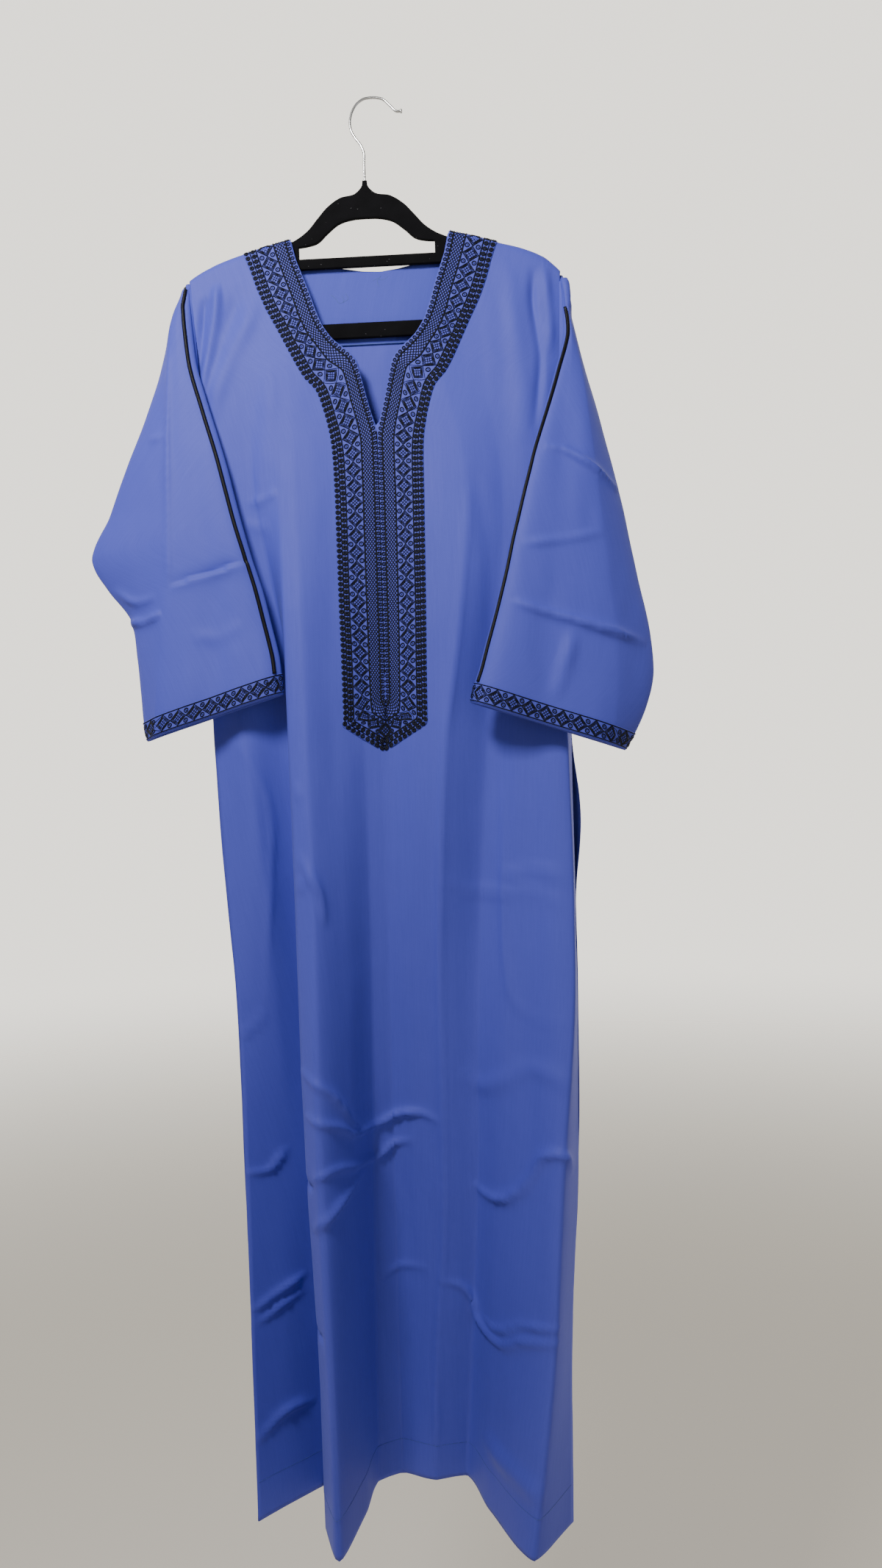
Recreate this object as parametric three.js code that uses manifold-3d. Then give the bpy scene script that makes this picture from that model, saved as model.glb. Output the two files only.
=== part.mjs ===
// A long thobe of plain blue cloth, hung on a flocked clothes hanger. Millimetres, +Z up.
// The origin is the underside of the hook's crest, where the hook hangs on a peg. The wearer's front
// faces -Y, so the wearer's right sleeve is on the -X side. The cloth is a set of thin walls: each is a
// grid of points worked out from sections through the garment, thickened outwards from its inner face.

import * as THREE from 'three';
import { mergeVertices } from 'three/addons/utils/BufferGeometryUtils.js';
import Module from 'manifold-3d';

const wasm = await Module();
wasm.setup();

// Driving dimensions
const CLOTH_WALL = 1.5; // body and sleeve cloth, with its seam allowances
const BAND_WALL = 0.9; // embroidered bands
const FACING_WALL = 1.0; // turned-in strip at the back neck
const SEAM_GAP = 0.3; // between neighbouring pieces
const HEM = -1538; // height of the hem
const BACK_DROP = 12; // the middle of the back hangs this much lower
const HEM_HALF = 165; // half the spread of the hem
const SHOULDER_ROUND = 4.5; // radius of the cloth over the hanger's arms
const UNDERARM = -470; // height where the armholes end and the side seams begin
const HANGER_CENTRE = -8; // the hook's crest stands this far to the side of the hanger's middle
const HANGER_THICK = 5.4;
const WIRE_RADIUS = 1.5; // hook wire
const CORD_WIDTH = 4.4; // black cord along each sleeve
const CORD_HEIGHT = 2.2;
const FACING_DEPTH = -267; // height of the facing's stitched lower edge

// Each pocket is a slit in a side seam, where the back edge stands outwards and back from the front's.
const POCKET_TOP = -712;
const POCKET_BOTTOM = -900;
const POCKET_GAP = { right: { out: 5, back: 18 }, left: { out: 9, back: 16 } };

// Inner face of the cloth along the top of the shoulders, from the wearer's right to left.
const SHOULDER_LINE = [
  { x: -214, z: -198 }, { x: -208, z: -193.5 }, { x: -187, z: -182 }, { x: -143, z: -166.5 },
  { x: -93, z: -154 }, { x: -4, z: -149 }, { x: 84, z: -154 }, { x: 136, z: -168 },
  { x: 170, z: -179 }, { x: 192, z: -190.5 }, { x: 206, z: -205 }, { x: 212, z: -214 },
];

// Sections through the front, from shoulder to hem. Each column is a fold line that runs down the
// cloth, as [x, y] of its inner face: the side seams, the creases, the two long ridges that stand out
// in the skirt, their flanks and the dips between them.
const FRONT_STEPS = {
  sideR: 3, creaseR: 3, valleyR: 3, ridgeR: 2, crestR: 3, flankR: 2, dipR: 3,
  centre: 4, creaseM: 3, dipL: 3, flankL: 4, ridgeL: 3, sideL: 0,
};
const FRONT_SECTIONS = [
  { z: -150, sideR: [-209, -4.5], creaseR: [-186, -4.5], valleyR: [-150, -4.5], ridgeR: [-121, -4.5],
    crestR: [-101, -4.5], flankR: [-70, -4.5], dipR: [-34, -4.5], centre: [-3, -4.5],
    creaseM: [60, -4.5], dipL: [112, -4.5], flankL: [146, -4.5], ridgeL: [186, -4.5],
    sideL: [205, -4.5] },
  { z: -215, sideR: [-206, -7], creaseR: [-185, -8], valleyR: [-149, -9], ridgeR: [-120, -9],
    crestR: [-100, -9], flankR: [-69, -8], dipR: [-33, -8], centre: [-3, -8],
    creaseM: [64, -9], dipL: [114, -8], flankL: [148, -9], ridgeL: [186, -8], sideL: [205, -6] },
  { z: -320, sideR: [-199, -12], creaseR: [-182, -15], valleyR: [-145, -15], ridgeR: [-117, -18],
    crestR: [-97, -18], flankR: [-66, -15], dipR: [-31, -14], centre: [-3, -14],
    creaseM: [74, -17], dipL: [119, -14], flankL: [151, -16], ridgeL: [186, -14], sideL: [203, -10] },
  { z: -440, sideR: [-198, -16], creaseR: [-180, -20], valleyR: [-138, -18], ridgeR: [-112, -27],
    crestR: [-93, -29], flankR: [-62, -25], dipR: [-29, -21], centre: [-3, -21],
    creaseM: [97, -29], dipL: [133, -22], flankL: [160, -23], ridgeL: [187, -22], sideL: [201, -14] },
  { z: -600, sideR: [-196, -18], creaseR: [-174, -24], valleyR: [-111, -20], ridgeR: [-106, -46],
    crestR: [-88, -49], flankR: [-57, -38], dipR: [-28, -29], centre: [-4, -28],
    creaseM: [82, -38], dipL: [122, -26], flankL: [155, -30], ridgeL: [189, -34], sideL: [200, -16] },
  { z: -720, sideR: [-192, -22], creaseR: [-157, -34], valleyR: [-108, -20], ridgeR: [-103.5, -54],
    crestR: [-85, -60], flankR: [-55, -44], dipR: [-27, -31], centre: [-5, -29],
    creaseM: [64, -39], dipL: [108, -24], flankL: [147, -34], ridgeL: [193, -46], sideL: [199, -24] },
  { z: -850, sideR: [-185, -28], creaseR: [-141, -37], valleyR: [-109, -15], ridgeR: [-98, -66],
    crestR: [-81, -74], flankR: [-52, -52], dipR: [-26, -30], centre: [-7, -26],
    creaseM: [55, -37], dipL: [98, -20], flankL: [137, -35], ridgeL: [194, -56], sideL: [198, -28] },
  { z: -1000, sideR: [-173, -38], creaseR: [-133, -28], valleyR: [-106, -8], ridgeR: [-96, -80],
    crestR: [-79, -92], flankR: [-51, -58], dipR: [-28, -24], centre: [-9, -17],
    creaseM: [48, -31], dipL: [90, -12], flankL: [122, -37], ridgeL: [190, -74], sideL: [196, -36] },
  { z: -1170, sideR: [-168, -50], creaseR: [-124, -18], valleyR: [-104, -4], ridgeR: [-91, -98],
    crestR: [-77, -112], flankR: [-51, -66], dipR: [-33, -16], centre: [-11, -4],
    creaseM: [45, -22], dipL: [82, -4], flankL: [105, -44], ridgeL: [171, -100], sideL: [190, -50] },
  { z: -1350, sideR: [-163, -66], creaseR: [-130, -34], valleyR: [-101, -5], ridgeR: [-84, -104],
    crestR: [-71, -128], flankR: [-50, -64], dipR: [-38, -8], centre: [-13, 6],
    creaseM: [37, -13], dipL: [70, 1], flankL: [90, -54], ridgeL: [155, -124], sideL: [176, -66] },
  { z: -1550, sideR: [-160, -78], creaseR: [-130, -45], valleyR: [-99, -12], ridgeR: [-86, -88],
    crestR: [-66, -142], flankR: [-48, -62], dipR: [-41, -6], centre: [-14, 12],
    creaseM: [24, -5], dipL: [58, 5], flankL: [83, -60], ridgeL: [126, -143], sideL: [170, -80] },
];

// Sections through the back. It hangs close to the wall, and two troughs run up into the hollows
// behind the front's ridges. Its side edges are the front's, so they have no columns here.
const BACK_STEPS = {
  sideL: 2, turnL: 3, edgeL: 3, troughL: 3, panelL: 3, middle: 3, panelR: 3, troughR: 3, edgeR: 3,
  turnR: 2, sideR: 0,
};
const BACK_SECTIONS = [
  { z: -150, turnL: [192, 4.5], edgeL: [166, 4.5], troughL: [132, 4.5], panelL: [80, 4.5],
    middle: [-3, 4.5], panelR: [-86, 4.5], troughR: [-134, 4.5], edgeR: [-168, 4.5],
    turnR: [-196, 4.5] },
  { z: -320, turnL: [191, 7], edgeL: [166, 8], troughL: [130, 8], panelL: [76, 7], middle: [-3, 7],
    panelR: [-80, 7], troughR: [-128, 8], edgeR: [-166, 8], turnR: [-190, 7] },
  { z: -470, turnL: [194, -4], edgeL: [170, 9], troughL: [128, 7], panelL: [72, 11],
    middle: [-3, 12], panelR: [-74, 11], troughR: [-122, 7], edgeR: [-166, 9], turnR: [-191, -4] },
  { z: -720, turnL: [192, 4], edgeL: [168, 17], troughL: [126, 4], panelL: [74, 17],
    middle: [-3, 19], panelR: [-62, 17], troughR: [-96, 0], edgeR: [-152, 17], turnR: [-180, 2] },
  { z: -1000, turnL: [190, -2], edgeL: [166, 20], troughL: [126, -8], panelL: [80, 20],
    middle: [-3, 23], panelR: [-48, 20], troughR: [-84, -14], edgeR: [-130, 20], turnR: [-163, -2] },
  { z: -1300, turnL: [176, -16], edgeL: [154, 22], troughL: [122, -26], panelL: [86, 22],
    middle: [-3, 27], panelR: [-44, 22], troughR: [-75, -34], edgeR: [-112, 21],
    turnR: [-155, -10] },
  { z: -1550, turnL: [166, -26], edgeL: [146, 22], troughL: [118, -42], panelL: [86, 22],
    middle: [-3, 29], panelR: [-44, 23], troughR: [-71, -50], edgeR: [-106, 21],
    turnR: [-150, -14] },
];

// Stations down each sleeve. `z` holds the heights of its inner and its outer edge, because the lower
// stations slant like the cuff. `seam` is [x, y of the front edge, y of the back edge]: above the
// underarm these are the two sides of the armhole, and below it they close as the underarm seam on the
// sleeve's back. `inner` and `outer` are the folded edges, `face` is the depth of the flat front,
// `crease` is the long pressed line down it, `back` is the depth of the back and `ply` that of the
// strip that is folded behind the inner edge.
const RIGHT_SLEEVE = [
  { z: [-197, -197], seam: [-209.6, -4, 4], inner: -209.9, face: -4.6, crease: [-213, -3.5],
    outer: [-214, 0], back: 3, ply: -4.2 },
  { z: [-212, -212], seam: [-208.2, -6.5, 6], inner: -209, face: -9, crease: [-216.5, -8],
    outer: [-218.5, -1], back: 5, ply: -7 },
  { z: [-232, -232], seam: [-206.6, -8, 7], inner: -207.5, face: -14, crease: [-223, -13],
    outer: [-227, -3], back: 6, ply: -9.5 },
  { z: [-255, -256], seam: [-205, -9.5, 8], inner: -205.5, face: -18, crease: [-229, -16],
    outer: [-232, -6], back: 7, ply: -12 },
  { z: [-299, -301], seam: [-201.9, -14, 7.5], inner: -199.5, face: -24, crease: [-231, -22],
    outer: [-243, -9], back: 6, ply: -17.5 },
  { z: [-348, -352], seam: [-199, -18, 4], inner: -186, face: -30, crease: [-231, -29],
    outer: [-261, -11], back: 2, ply: -22 },
  { z: [-400, -412], seam: [-198.5, -20.5, -3], inner: -171, face: -36, crease: [-231, -35],
    outer: [-286, -14], back: -4, ply: -26.5 },
  { z: [-440, -458], seam: [-199, -23, -12], inner: -161, face: -40, crease: [-231, -39],
    outer: [-303, -16], back: -8, ply: -29 },
  { z: [-478, -504], seam: [-203, -25, -25], inner: -151.5, face: -43, crease: [-231, -43],
    outer: [-325, -18], back: -14, ply: -31 },
  { z: [-510, -540], seam: [-210, -26, -26], inner: -142, face: -45, crease: [-232, -45],
    outer: [-305, -19], back: -17, ply: -32 },
  { z: [-545, -574], seam: [-219, -28, -28], inner: -131.5, face: -46, crease: [-237, -46],
    outer: [-281, -20], back: -20, ply: -33 },
  { z: [-585, -617], seam: [-229, -31, -31], inner: -122, face: -48, crease: [-243, -47],
    outer: [-274, -24], back: -26, ply: -36 },
  { z: [-620, -655], seam: [-238, -35, -35], inner: -114, face: -51, crease: [-247, -48],
    outer: [-270, -28], back: -30, ply: -38.5 },
  { z: [-641, -688], seam: [-244, -37, -37], inner: -111.5, face: -53, crease: [-250, -49],
    outer: [-267, -31], back: -33, ply: -40.5 },
  { z: [-664, -709], seam: [-248, -39, -39], inner: -110.5, face: -54, crease: [-252, -49],
    outer: [-263, -33], back: -35, ply: -41.5 },
];
const LEFT_SLEEVE = [
  { z: [-209, -209], seam: [206.8, -5, 4], inner: 207.4, face: -5.6, crease: [208.6, -4],
    outer: [209.5, 0], back: 3, ply: -5 },
  { z: [-226, -226], seam: [206.4, -6.8, 6], inner: 208, face: -10, crease: [212, -8],
    outer: [212.5, -2], back: 5, ply: -8 },
  { z: [-251, -252], seam: [205.8, -8.5, 7], inner: 208, face: -14, crease: [213, -12],
    outer: [215, -4], back: 6, ply: -11 },
  { z: [-281, -283], seam: [204.8, -11, 7], inner: 208, face: -19, crease: [218, -17],
    outer: [221, -6], back: 6, ply: -14 },
  { z: [-321, -325], seam: [203, -15, 6], inner: 196.5, face: -26, crease: [224, -24],
    outer: [230, -9], back: 5, ply: -19 },
  { z: [-367, -374], seam: [202, -18.5, 2], inner: 182, face: -34, crease: [228, -32],
    outer: [242.5, -12], back: 0, ply: -24 },
  { z: [-410, -422], seam: [202, -21, -5], inner: 168, face: -42, crease: [232, -39],
    outer: [253, -16], back: -7, ply: -29 },
  { z: [-452, -468], seam: [202.6, -24, -15], inner: 156, face: -49, crease: [236, -45],
    outer: [262, -20], back: -14, ply: -34 },
  { z: [-497, -516], seam: [206, -29, -29], inner: 143.5, face: -55, crease: [240, -50],
    outer: [269.5, -25], back: -22, ply: -39 },
  { z: [-541, -564], seam: [213, -34, -34], inner: 133, face: -59, crease: [244, -54],
    outer: [278, -29], back: -28, ply: -43 },
  { z: [-583, -610], seam: [222, -38, -38], inner: 122, face: -62, crease: [248, -56],
    outer: [286, -32], back: -33, ply: -46 },
  { z: [-620, -655], seam: [231, -41, -41], inner: 111, face: -65, crease: [248, -58],
    outer: [288, -35], back: -36, ply: -49 },
  { z: [-645, -690], seam: [237, -43, -43], inner: 103.5, face: -67, crease: [246, -60],
    outer: [279, -38], back: -39, ply: -52 },
  { z: [-660, -718], seam: [240, -44, -44], inner: 98, face: -68, crease: [243, -61],
    outer: [266, -40], back: -40, ply: -54 },
  { z: [-681, -736], seam: [238, -44, -44], inner: 92.5, face: -69, crease: [240, -61],
    outer: [254, -42], back: -41, ply: -55 },
];
// How far the strip with the cord on it reaches from each sleeve's inner edge.
const CORD_INSET = { right: 6.5, left: 3 };
const SLEEVE_ROWS_PER_STATION = 1.5;
const SLEEVE_CUT_ROW = 14; // each sleeve is two solids, cut at this row, a little below the elbow
const SLEEVE_STEPS = [3, 3, 4, 3, 3, 2, 2, 3];

// Half outlines, as the distance `half` from the centre line at each height.
const CENTRE_LINE = [
  { z: -150, x: -4.5 }, { z: -300, x: -2.5 }, { z: -450, x: -0.8 }, { z: -600, x: -0.8 },
  { z: -690, x: -1.2 }, { z: -729, x: -4.5 },
];
const NECK_HALF = [
  { z: -150, half: 89 }, { z: -190, half: 79.5 }, { z: -230, half: 67.5 }, { z: -254, half: 57 },
  { z: -271, half: 44 }, { z: -284, half: 29 }, { z: -293, half: 21 }, { z: -317, half: 15.8 },
  { z: -334, half: 11.5 }, { z: -357, half: 5 }, { z: -369, half: 1.2 },
];
const BAND_HALF = [
  { z: -150, half: 143 }, { z: -175, half: 134 }, { z: -200, half: 127 }, { z: -226, half: 117 },
  { z: -254, half: 105 }, { z: -284, half: 91 }, { z: -301, half: 82 }, { z: -314, half: 72 },
  { z: -326, half: 62.5 }, { z: -340, half: 57.5 }, { z: -360, half: 54 }, { z: -384, half: 52 },
  { z: -430, half: 50 }, { z: -540, half: 48.5 }, { z: -620, half: 48 }, { z: -700, half: 46.5 },
  { z: -729, half: 0.3 },
];
const BACK_NECK = [
  { x: -92, z: -150 }, { x: -84, z: -180 }, { x: -76, z: -184.5 }, { x: -43, z: -184 },
  { x: -16, z: -189 }, { x: 6, z: -190.5 }, { x: 26, z: -188 }, { x: 44, z: -184 },
  { x: 70, z: -184.5 }, { x: 78, z: -180 }, { x: 85, z: -150 },
];

// Hanger outline, as the distance from the hanger's middle. The arch's back runs into the arms, which
// carry the shoulders, and the arms turn in under their tips to the trouser bar.
const ARCH_TOP = [
  { d: 3, z: -91 }, { d: 4.5, z: -97.5 }, { d: 9.5, z: -103.6 }, { d: 28, z: -108.8 },
  { d: 43, z: -118.6 }, { d: 54, z: -130.5 }, { d: 66, z: -144 }, { d: 78, z: -152.5 },
  { d: 90, z: -158 }, { d: 135, z: -170.5 }, { d: 178, z: -186.5 }, { d: 192, z: -196 },
  { d: 198, z: -206 },
];
const TIP_UNDER = [
  { d: 197.5, z: -226 }, { d: 190, z: -247 }, { d: 174, z: -263 }, { d: 155, z: -266 },
];
const TROUSER_BAR = { top: -249, bottom: -266 };
const TIE_BAR = { top: -175.2, bottom: -186.8, half: 76, post: 12 };
const ARCH_UNDER = [
  { d: 0, z: -133 }, { d: 14, z: -133.6 }, { d: 30, z: -137.8 }, { d: 43, z: -147.6 },
  { d: 55, z: -158 }, { d: 66, z: -161 }, { d: 76, z: -162 },
];
const ARM_UNDER = [
  { d: 88, z: -166 }, { d: 135, z: -180 }, { d: 172, z: -195 }, { d: 183, z: -206 },
  { d: 184, z: -224 }, { d: 178, z: -240 }, { d: 164, z: -248.5 },
];
const HOOK_LINE = [
  { x: 35, z: -15.4 }, { x: 30.4, z: -15.4 }, { x: 24, z: -9.4 }, { x: 14.4, z: -0.6 },
  { x: 6, z: 1.4 }, { x: 0, z: 1.5 }, { x: -6, z: 0.6 }, { x: -14, z: -4.6 }, { x: -19.6, z: -13.4 },
  { x: -22.3, z: -25 }, { x: -21, z: -34.6 }, { x: -16.6, z: -42.8 }, { x: -10.6, z: -51.6 },
  { x: -8.2, z: -58 }, { x: -8, z: -74 }, { x: -8, z: -90.4 },
];
const HOOK_BALL = 2.3;

const FINISH = {
  cloth: { color: 0x6a80d8, roughness: 0.72, metalness: 0 },
  inside: { color: 0x5f74c8, roughness: 0.8, metalness: 0 },
  embroidery: { color: 0x39457f, roughness: 0.8, metalness: 0 },
  cord: { color: 0x0b0b10, roughness: 0.6, metalness: 0 },
  flock: { color: 0x08080a, roughness: 1, metalness: 0 },
  steel: { color: 0xc8ccd0, roughness: 0.2, metalness: 1 },
};

const thobe = new THREE.Group();

function addPiece(name, geometry, finish) {
  const piece = new THREE.Mesh(geometry, new THREE.MeshStandardMaterial(finish));
  piece.name = name;
  thobe.add(piece);
}

// ---- Smooth lines through tables ----

/** Value at t on a smooth line through (places[i], values[i]); softness 1 is a full Catmull-Rom. */
function smoothAt(places, values, t, softness) {
  const last = places.length - 1;
  let i = 0;
  while (i < last - 1 && t > places[i + 1]) i += 1;
  const slope = (k) => {
    if (k <= 0 || k >= last) {
      const a = Math.min(Math.max(k - 1, 0), last - 1);
      return (values[a + 1] - values[a]) / (places[a + 1] - places[a]);
    }
    const before = places[k] - places[k - 1];
    const after = places[k + 1] - places[k];
    const left = (values[k] - values[k - 1]) / before;
    const right = (values[k + 1] - values[k]) / after;
    return (left * after + right * before) / (before + after);
  };
  const span = places[i + 1] - places[i];
  const s = THREE.MathUtils.clamp((t - places[i]) / span, 0, 1);
  const h = s * s * (3 - 2 * s);
  const chord = values[i + 1] - values[i];
  const bend = (m) => softness * m * span + (1 - softness) * chord;
  return values[i] + chord * h
    + bend(slope(i)) * s * (1 - s) * (1 - s) - bend(slope(i + 1)) * s * s * (1 - s);
}

/** One named column of a table, read at `place` of its key column. The key may rise or fall. */
function tableAt(rows, key, place, value, softness = 1) {
  const sign = rows[1][key] > rows[0][key] ? 1 : -1;
  const places = rows.map((row) => sign * row[key]);
  return smoothAt(places, rows.map(value), sign * place, softness);
}

/** Points on a smooth line through corner points, with `steps[i]` steps after corner i. */
function smoothLine(corners, steps, softness) {
  const along = [0];
  for (let i = 1; i < corners.length; i += 1) {
    along.push(along[i - 1] + Math.max(corners[i].distanceTo(corners[i - 1]), 0.05));
  }
  const read = (axis, t) => smoothAt(along, corners.map((corner) => corner[axis]), t, softness);
  const line = [];
  for (let i = 0; i < corners.length - 1; i += 1) {
    for (let k = 0; k < steps[i]; k += 1) {
      const t = along[i] + ((along[i + 1] - along[i]) * k) / steps[i];
      line.push(new THREE.Vector3(read('x', t), read('y', t), read('z', t)));
    }
  }
  line.push(corners.at(-1).clone());
  return line;
}

// ---- Walls on grids of points; grid[row][column] ----

/** Unit normals of a grid, on the side given by the sign. */
function gridNormals(grid, sign) {
  const rows = grid.length;
  const columns = grid[0].length;
  return grid.map((line, r) => line.map((_, c) => {
    const across = grid[r][Math.min(c + 1, columns - 1)].clone().sub(grid[r][Math.max(c - 1, 0)]);
    const down = grid[Math.min(r + 1, rows - 1)][c].clone().sub(grid[Math.max(r - 1, 0)][c]);
    return down.cross(across).normalize().multiplyScalar(sign);
  }));
}

function movedGrid(grid, normals, distance) {
  return grid.map((line, r) => line.map((point, c) => (
    point.clone().addScaledVector(normals[r][c], distance))));
}

/** Closed geometry from points and triangles, turned so that its faces point out. */
function closedGeometry(points, triangles) {
  let volume = 0;
  for (const [a, b, c] of triangles) {
    volume += points[a].dot(new THREE.Vector3().crossVectors(points[b], points[c]));
  }
  const outward = volume > 0 ? triangles : triangles.map(([a, b, c]) => [a, c, b]);
  const geometry = new THREE.BufferGeometry().setFromPoints(points);
  geometry.setIndex(outward.flat());
  geometry.computeVertexNormals();
  return geometry;
}

/** The wall between two grids of the same size. */
function wallBetween(near, far) {
  const rows = near.length;
  const columns = near[0].length;
  const points = [...near.flat(), ...far.flat()];
  const at = (side, r, c) => side * rows * columns + r * columns + c;
  const triangles = [];
  const quad = (a, b, c, d) => triangles.push([a, b, c], [a, c, d]);
  for (let r = 0; r < rows - 1; r += 1) {
    for (let c = 0; c < columns - 1; c += 1) {
      quad(at(0, r, c), at(0, r, c + 1), at(0, r + 1, c + 1), at(0, r + 1, c));
      quad(at(1, r, c), at(1, r + 1, c), at(1, r + 1, c + 1), at(1, r, c + 1));
    }
    const last = columns - 1;
    quad(at(0, r, 0), at(0, r + 1, 0), at(1, r + 1, 0), at(1, r, 0));
    quad(at(0, r, last), at(1, r, last), at(1, r + 1, last), at(0, r + 1, last));
  }
  for (let c = 0; c < columns - 1; c += 1) {
    const last = rows - 1;
    quad(at(0, 0, c), at(1, 0, c), at(1, 0, c + 1), at(0, 0, c + 1));
    quad(at(0, last, c), at(0, last, c + 1), at(1, last, c + 1), at(1, last, c));
  }
  return closedGeometry(points, triangles);
}

// ---- Cutting to an outline ----

function toManifold(geometry) {
  const bare = new THREE.BufferGeometry().setAttribute('position', geometry.getAttribute('position'));
  bare.setIndex(geometry.index);
  const merged = mergeVertices(bare, 1e-4);
  return new wasm.Manifold(new wasm.Mesh({
    numProp: 3,
    vertProperties: new Float32Array(merged.getAttribute('position').array),
    triVerts: new Uint32Array(merged.index.array),
  }));
}

function fromManifold(solid) {
  const mesh = solid.getMesh();
  const geometry = new THREE.BufferGeometry();
  geometry.setAttribute('position', new THREE.BufferAttribute(mesh.vertProperties, mesh.numProp));
  geometry.setIndex(new THREE.BufferAttribute(mesh.triVerts, 1));
  geometry.computeVertexNormals();
  return geometry;
}

/** A prism along Y over an outline of [x, z] points. */
function cutterThrough(outline, front, back) {
  const shape = new THREE.Shape(outline.map(([x, z]) => new THREE.Vector2(x, z)));
  const prism = new THREE.ExtrudeGeometry(shape, { depth: back - front, bevelEnabled: false });
  prism.rotateX(Math.PI / 2);
  prism.translate(0, back, 0);
  return toManifold(mergeVertices(
    new THREE.BufferGeometry().setAttribute('position', prism.getAttribute('position')), 1e-4));
}

/** Both sides of a half outline about the centre line, from its top right round to its top left. */
function fullOutline(halfRows, shrink = 0) {
  const centre = (z) => tableAt(CENTRE_LINE, 'z', z, (row) => row.x, 0);
  const side = (sign) => halfRows.map(({ z, half }) => (
    [centre(z) + sign * Math.max(half - shrink, 0.1), z]));
  return [...side(1), ...side(-1).reverse()];
}

// ---- Body ----

function shoulderHeight(x) {
  return tableAt(SHOULDER_LINE, 'x', x, (row) => row.z);
}

function pocketBump(z) {
  const s = (z - POCKET_TOP) / (POCKET_BOTTOM - POCKET_TOP);
  return s > 0 && s < 1 ? Math.sin(Math.PI * s) ** 2 : 0;
}

/** Corner points of the front's section at one height. */
function frontSection(z) {
  return Object.keys(FRONT_STEPS).map((fold) => {
    const y = tableAt(FRONT_SECTIONS, 'z', z, (row) => row[fold][1]);
    return new THREE.Vector3(tableAt(FRONT_SECTIONS, 'z', z, (row) => row[fold][0]), y, z);
  });
}

/** Corner points of the back's section at one height, from the wearer's left to right. */
function backSection(z) {
  const front = frontSection(z);
  const armhole = THREE.MathUtils.smoothstep(z, UNDERARM, UNDERARM + 190);
  const bump = pocketBump(z);
  const side = (edge, outwards, gap) => new THREE.Vector3(
    edge.x + outwards * (gap.out * bump + SEAM_GAP / 2),
    THREE.MathUtils.lerp(
      edge.y + SEAM_GAP + gap.back * bump, Math.min(SHOULDER_ROUND, -edge.y), armhole),
    z,
  );
  const corners = Object.keys(BACK_STEPS).slice(1, -1).map((fold) => new THREE.Vector3(
    tableAt(BACK_SECTIONS, 'z', z, (row) => row[fold][0]),
    tableAt(BACK_SECTIONS, 'z', z, (row) => row[fold][1]),
    z,
  ));
  return [
    side(front.at(-1), 1, POCKET_GAP.left), ...corners, side(front[0], -1, POCKET_GAP.right),
  ];
}

/** A body panel's inner face: over the shoulder in a quarter round, then down to the hem. */
function panelGrid(section, steps, drop, rowCount) {
  const columnAt = (z, c) => smoothLine(section(z), steps, 0.55)[c];
  const columnCount = steps.reduce((sum, n) => sum + n, 1);
  const grid = Array.from({ length: rowCount + 2 }, () => []);
  for (let c = 0; c < columnCount; c += 1) {
    const top = shoulderHeight(columnAt(-170, c).x);
    const level = columnAt(top, c);
    const side = Math.sign(level.y);
    const round = Math.abs(level.y);
    const hem = HEM - drop * Math.max(1 - (level.x / HEM_HALF) ** 2, 0);
    grid[0].push(new THREE.Vector3(level.x, side * SEAM_GAP / 2, top));
    grid[1].push(new THREE.Vector3(level.x, side * round * 0.62, top - round * 0.22));
    for (let r = 0; r < rowCount; r += 1) {
      const z = top - round + ((hem - top + round) * r) / (rowCount - 1);
      grid[r + 2].push(columnAt(z, c));
    }
  }
  return grid;
}

const bodySteps = (table) => Object.values(table).slice(0, -1);
const frontGrid = panelGrid(frontSection, bodySteps(FRONT_STEPS), 0, 27);
const frontNormals = gridNormals(frontGrid, 1);
const frontFace = movedGrid(frontGrid, frontNormals, CLOTH_WALL);
const neckCutter = cutterThrough(
  [[CENTRE_LINE[0].x + 91, -120], ...fullOutline(NECK_HALF), [CENTRE_LINE[0].x - 91, -120]], -90, 0);
addPiece(
  'front_panel', fromManifold(toManifold(wallBetween(frontGrid, frontFace)).subtract(neckCutter)),
  FINISH.cloth);

const backGrid = panelGrid(backSection, bodySteps(BACK_STEPS), BACK_DROP, 20);
const backNormals = gridNormals(backGrid, 1);
const backFace = movedGrid(backGrid, backNormals, CLOTH_WALL);
const backNeckLine = BACK_NECK.map(({ x, z }) => [x, z]);
const backNeckCutter = cutterThrough([[-93, -120], ...backNeckLine, [86, -120]], 0, 60);
addPiece(
  'back_panel', fromManifold(toManifold(wallBetween(backGrid, backFace)).subtract(backNeckCutter)),
  FINISH.cloth);

// ---- Neck band and back neck facing, made from the panels' own points ----

function bandOnFront() {
  const rows = frontGrid.findIndex((line) => line.every((point) => point.z < -730)) + 1;
  const lower = frontFace.slice(0, rows);
  const normals = frontNormals.slice(0, rows);
  const sheet = wallBetween(
    movedGrid(lower, normals, SEAM_GAP), movedGrid(lower, normals, SEAM_GAP + BAND_WALL));
  const outer = [[140, -120], ...fullOutline(BAND_HALF), [-149, -120]];
  const band = toManifold(sheet).intersect(cutterThrough(outer, -90, -SEAM_GAP));
  return fromManifold(band.subtract(neckCutter));
}
addPiece('neck_band', bandOnFront(), FINISH.embroidery);

function facingOnBack() {
  const rows = backGrid.findIndex((line) => line.every((point) => point.z < FACING_DEPTH)) + 1;
  const upper = backGrid.slice(2, rows);
  const normals = backNormals.slice(2, rows);
  const sheet = wallBetween(
    movedGrid(upper, normals, -SEAM_GAP), movedGrid(upper, normals, -SEAM_GAP - FACING_WALL));
  const outline = [[-90, FACING_DEPTH], [-90, -172], [84, -172], [84, FACING_DEPTH]];
  const strip = toManifold(sheet).intersect(cutterThrough(outline, -20, 60));
  return fromManifold(strip.subtract(backNeckCutter));
}
addPiece('back_neck_facing', facingOnBack(), FINISH.inside);

// ---- Sleeves ----

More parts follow.
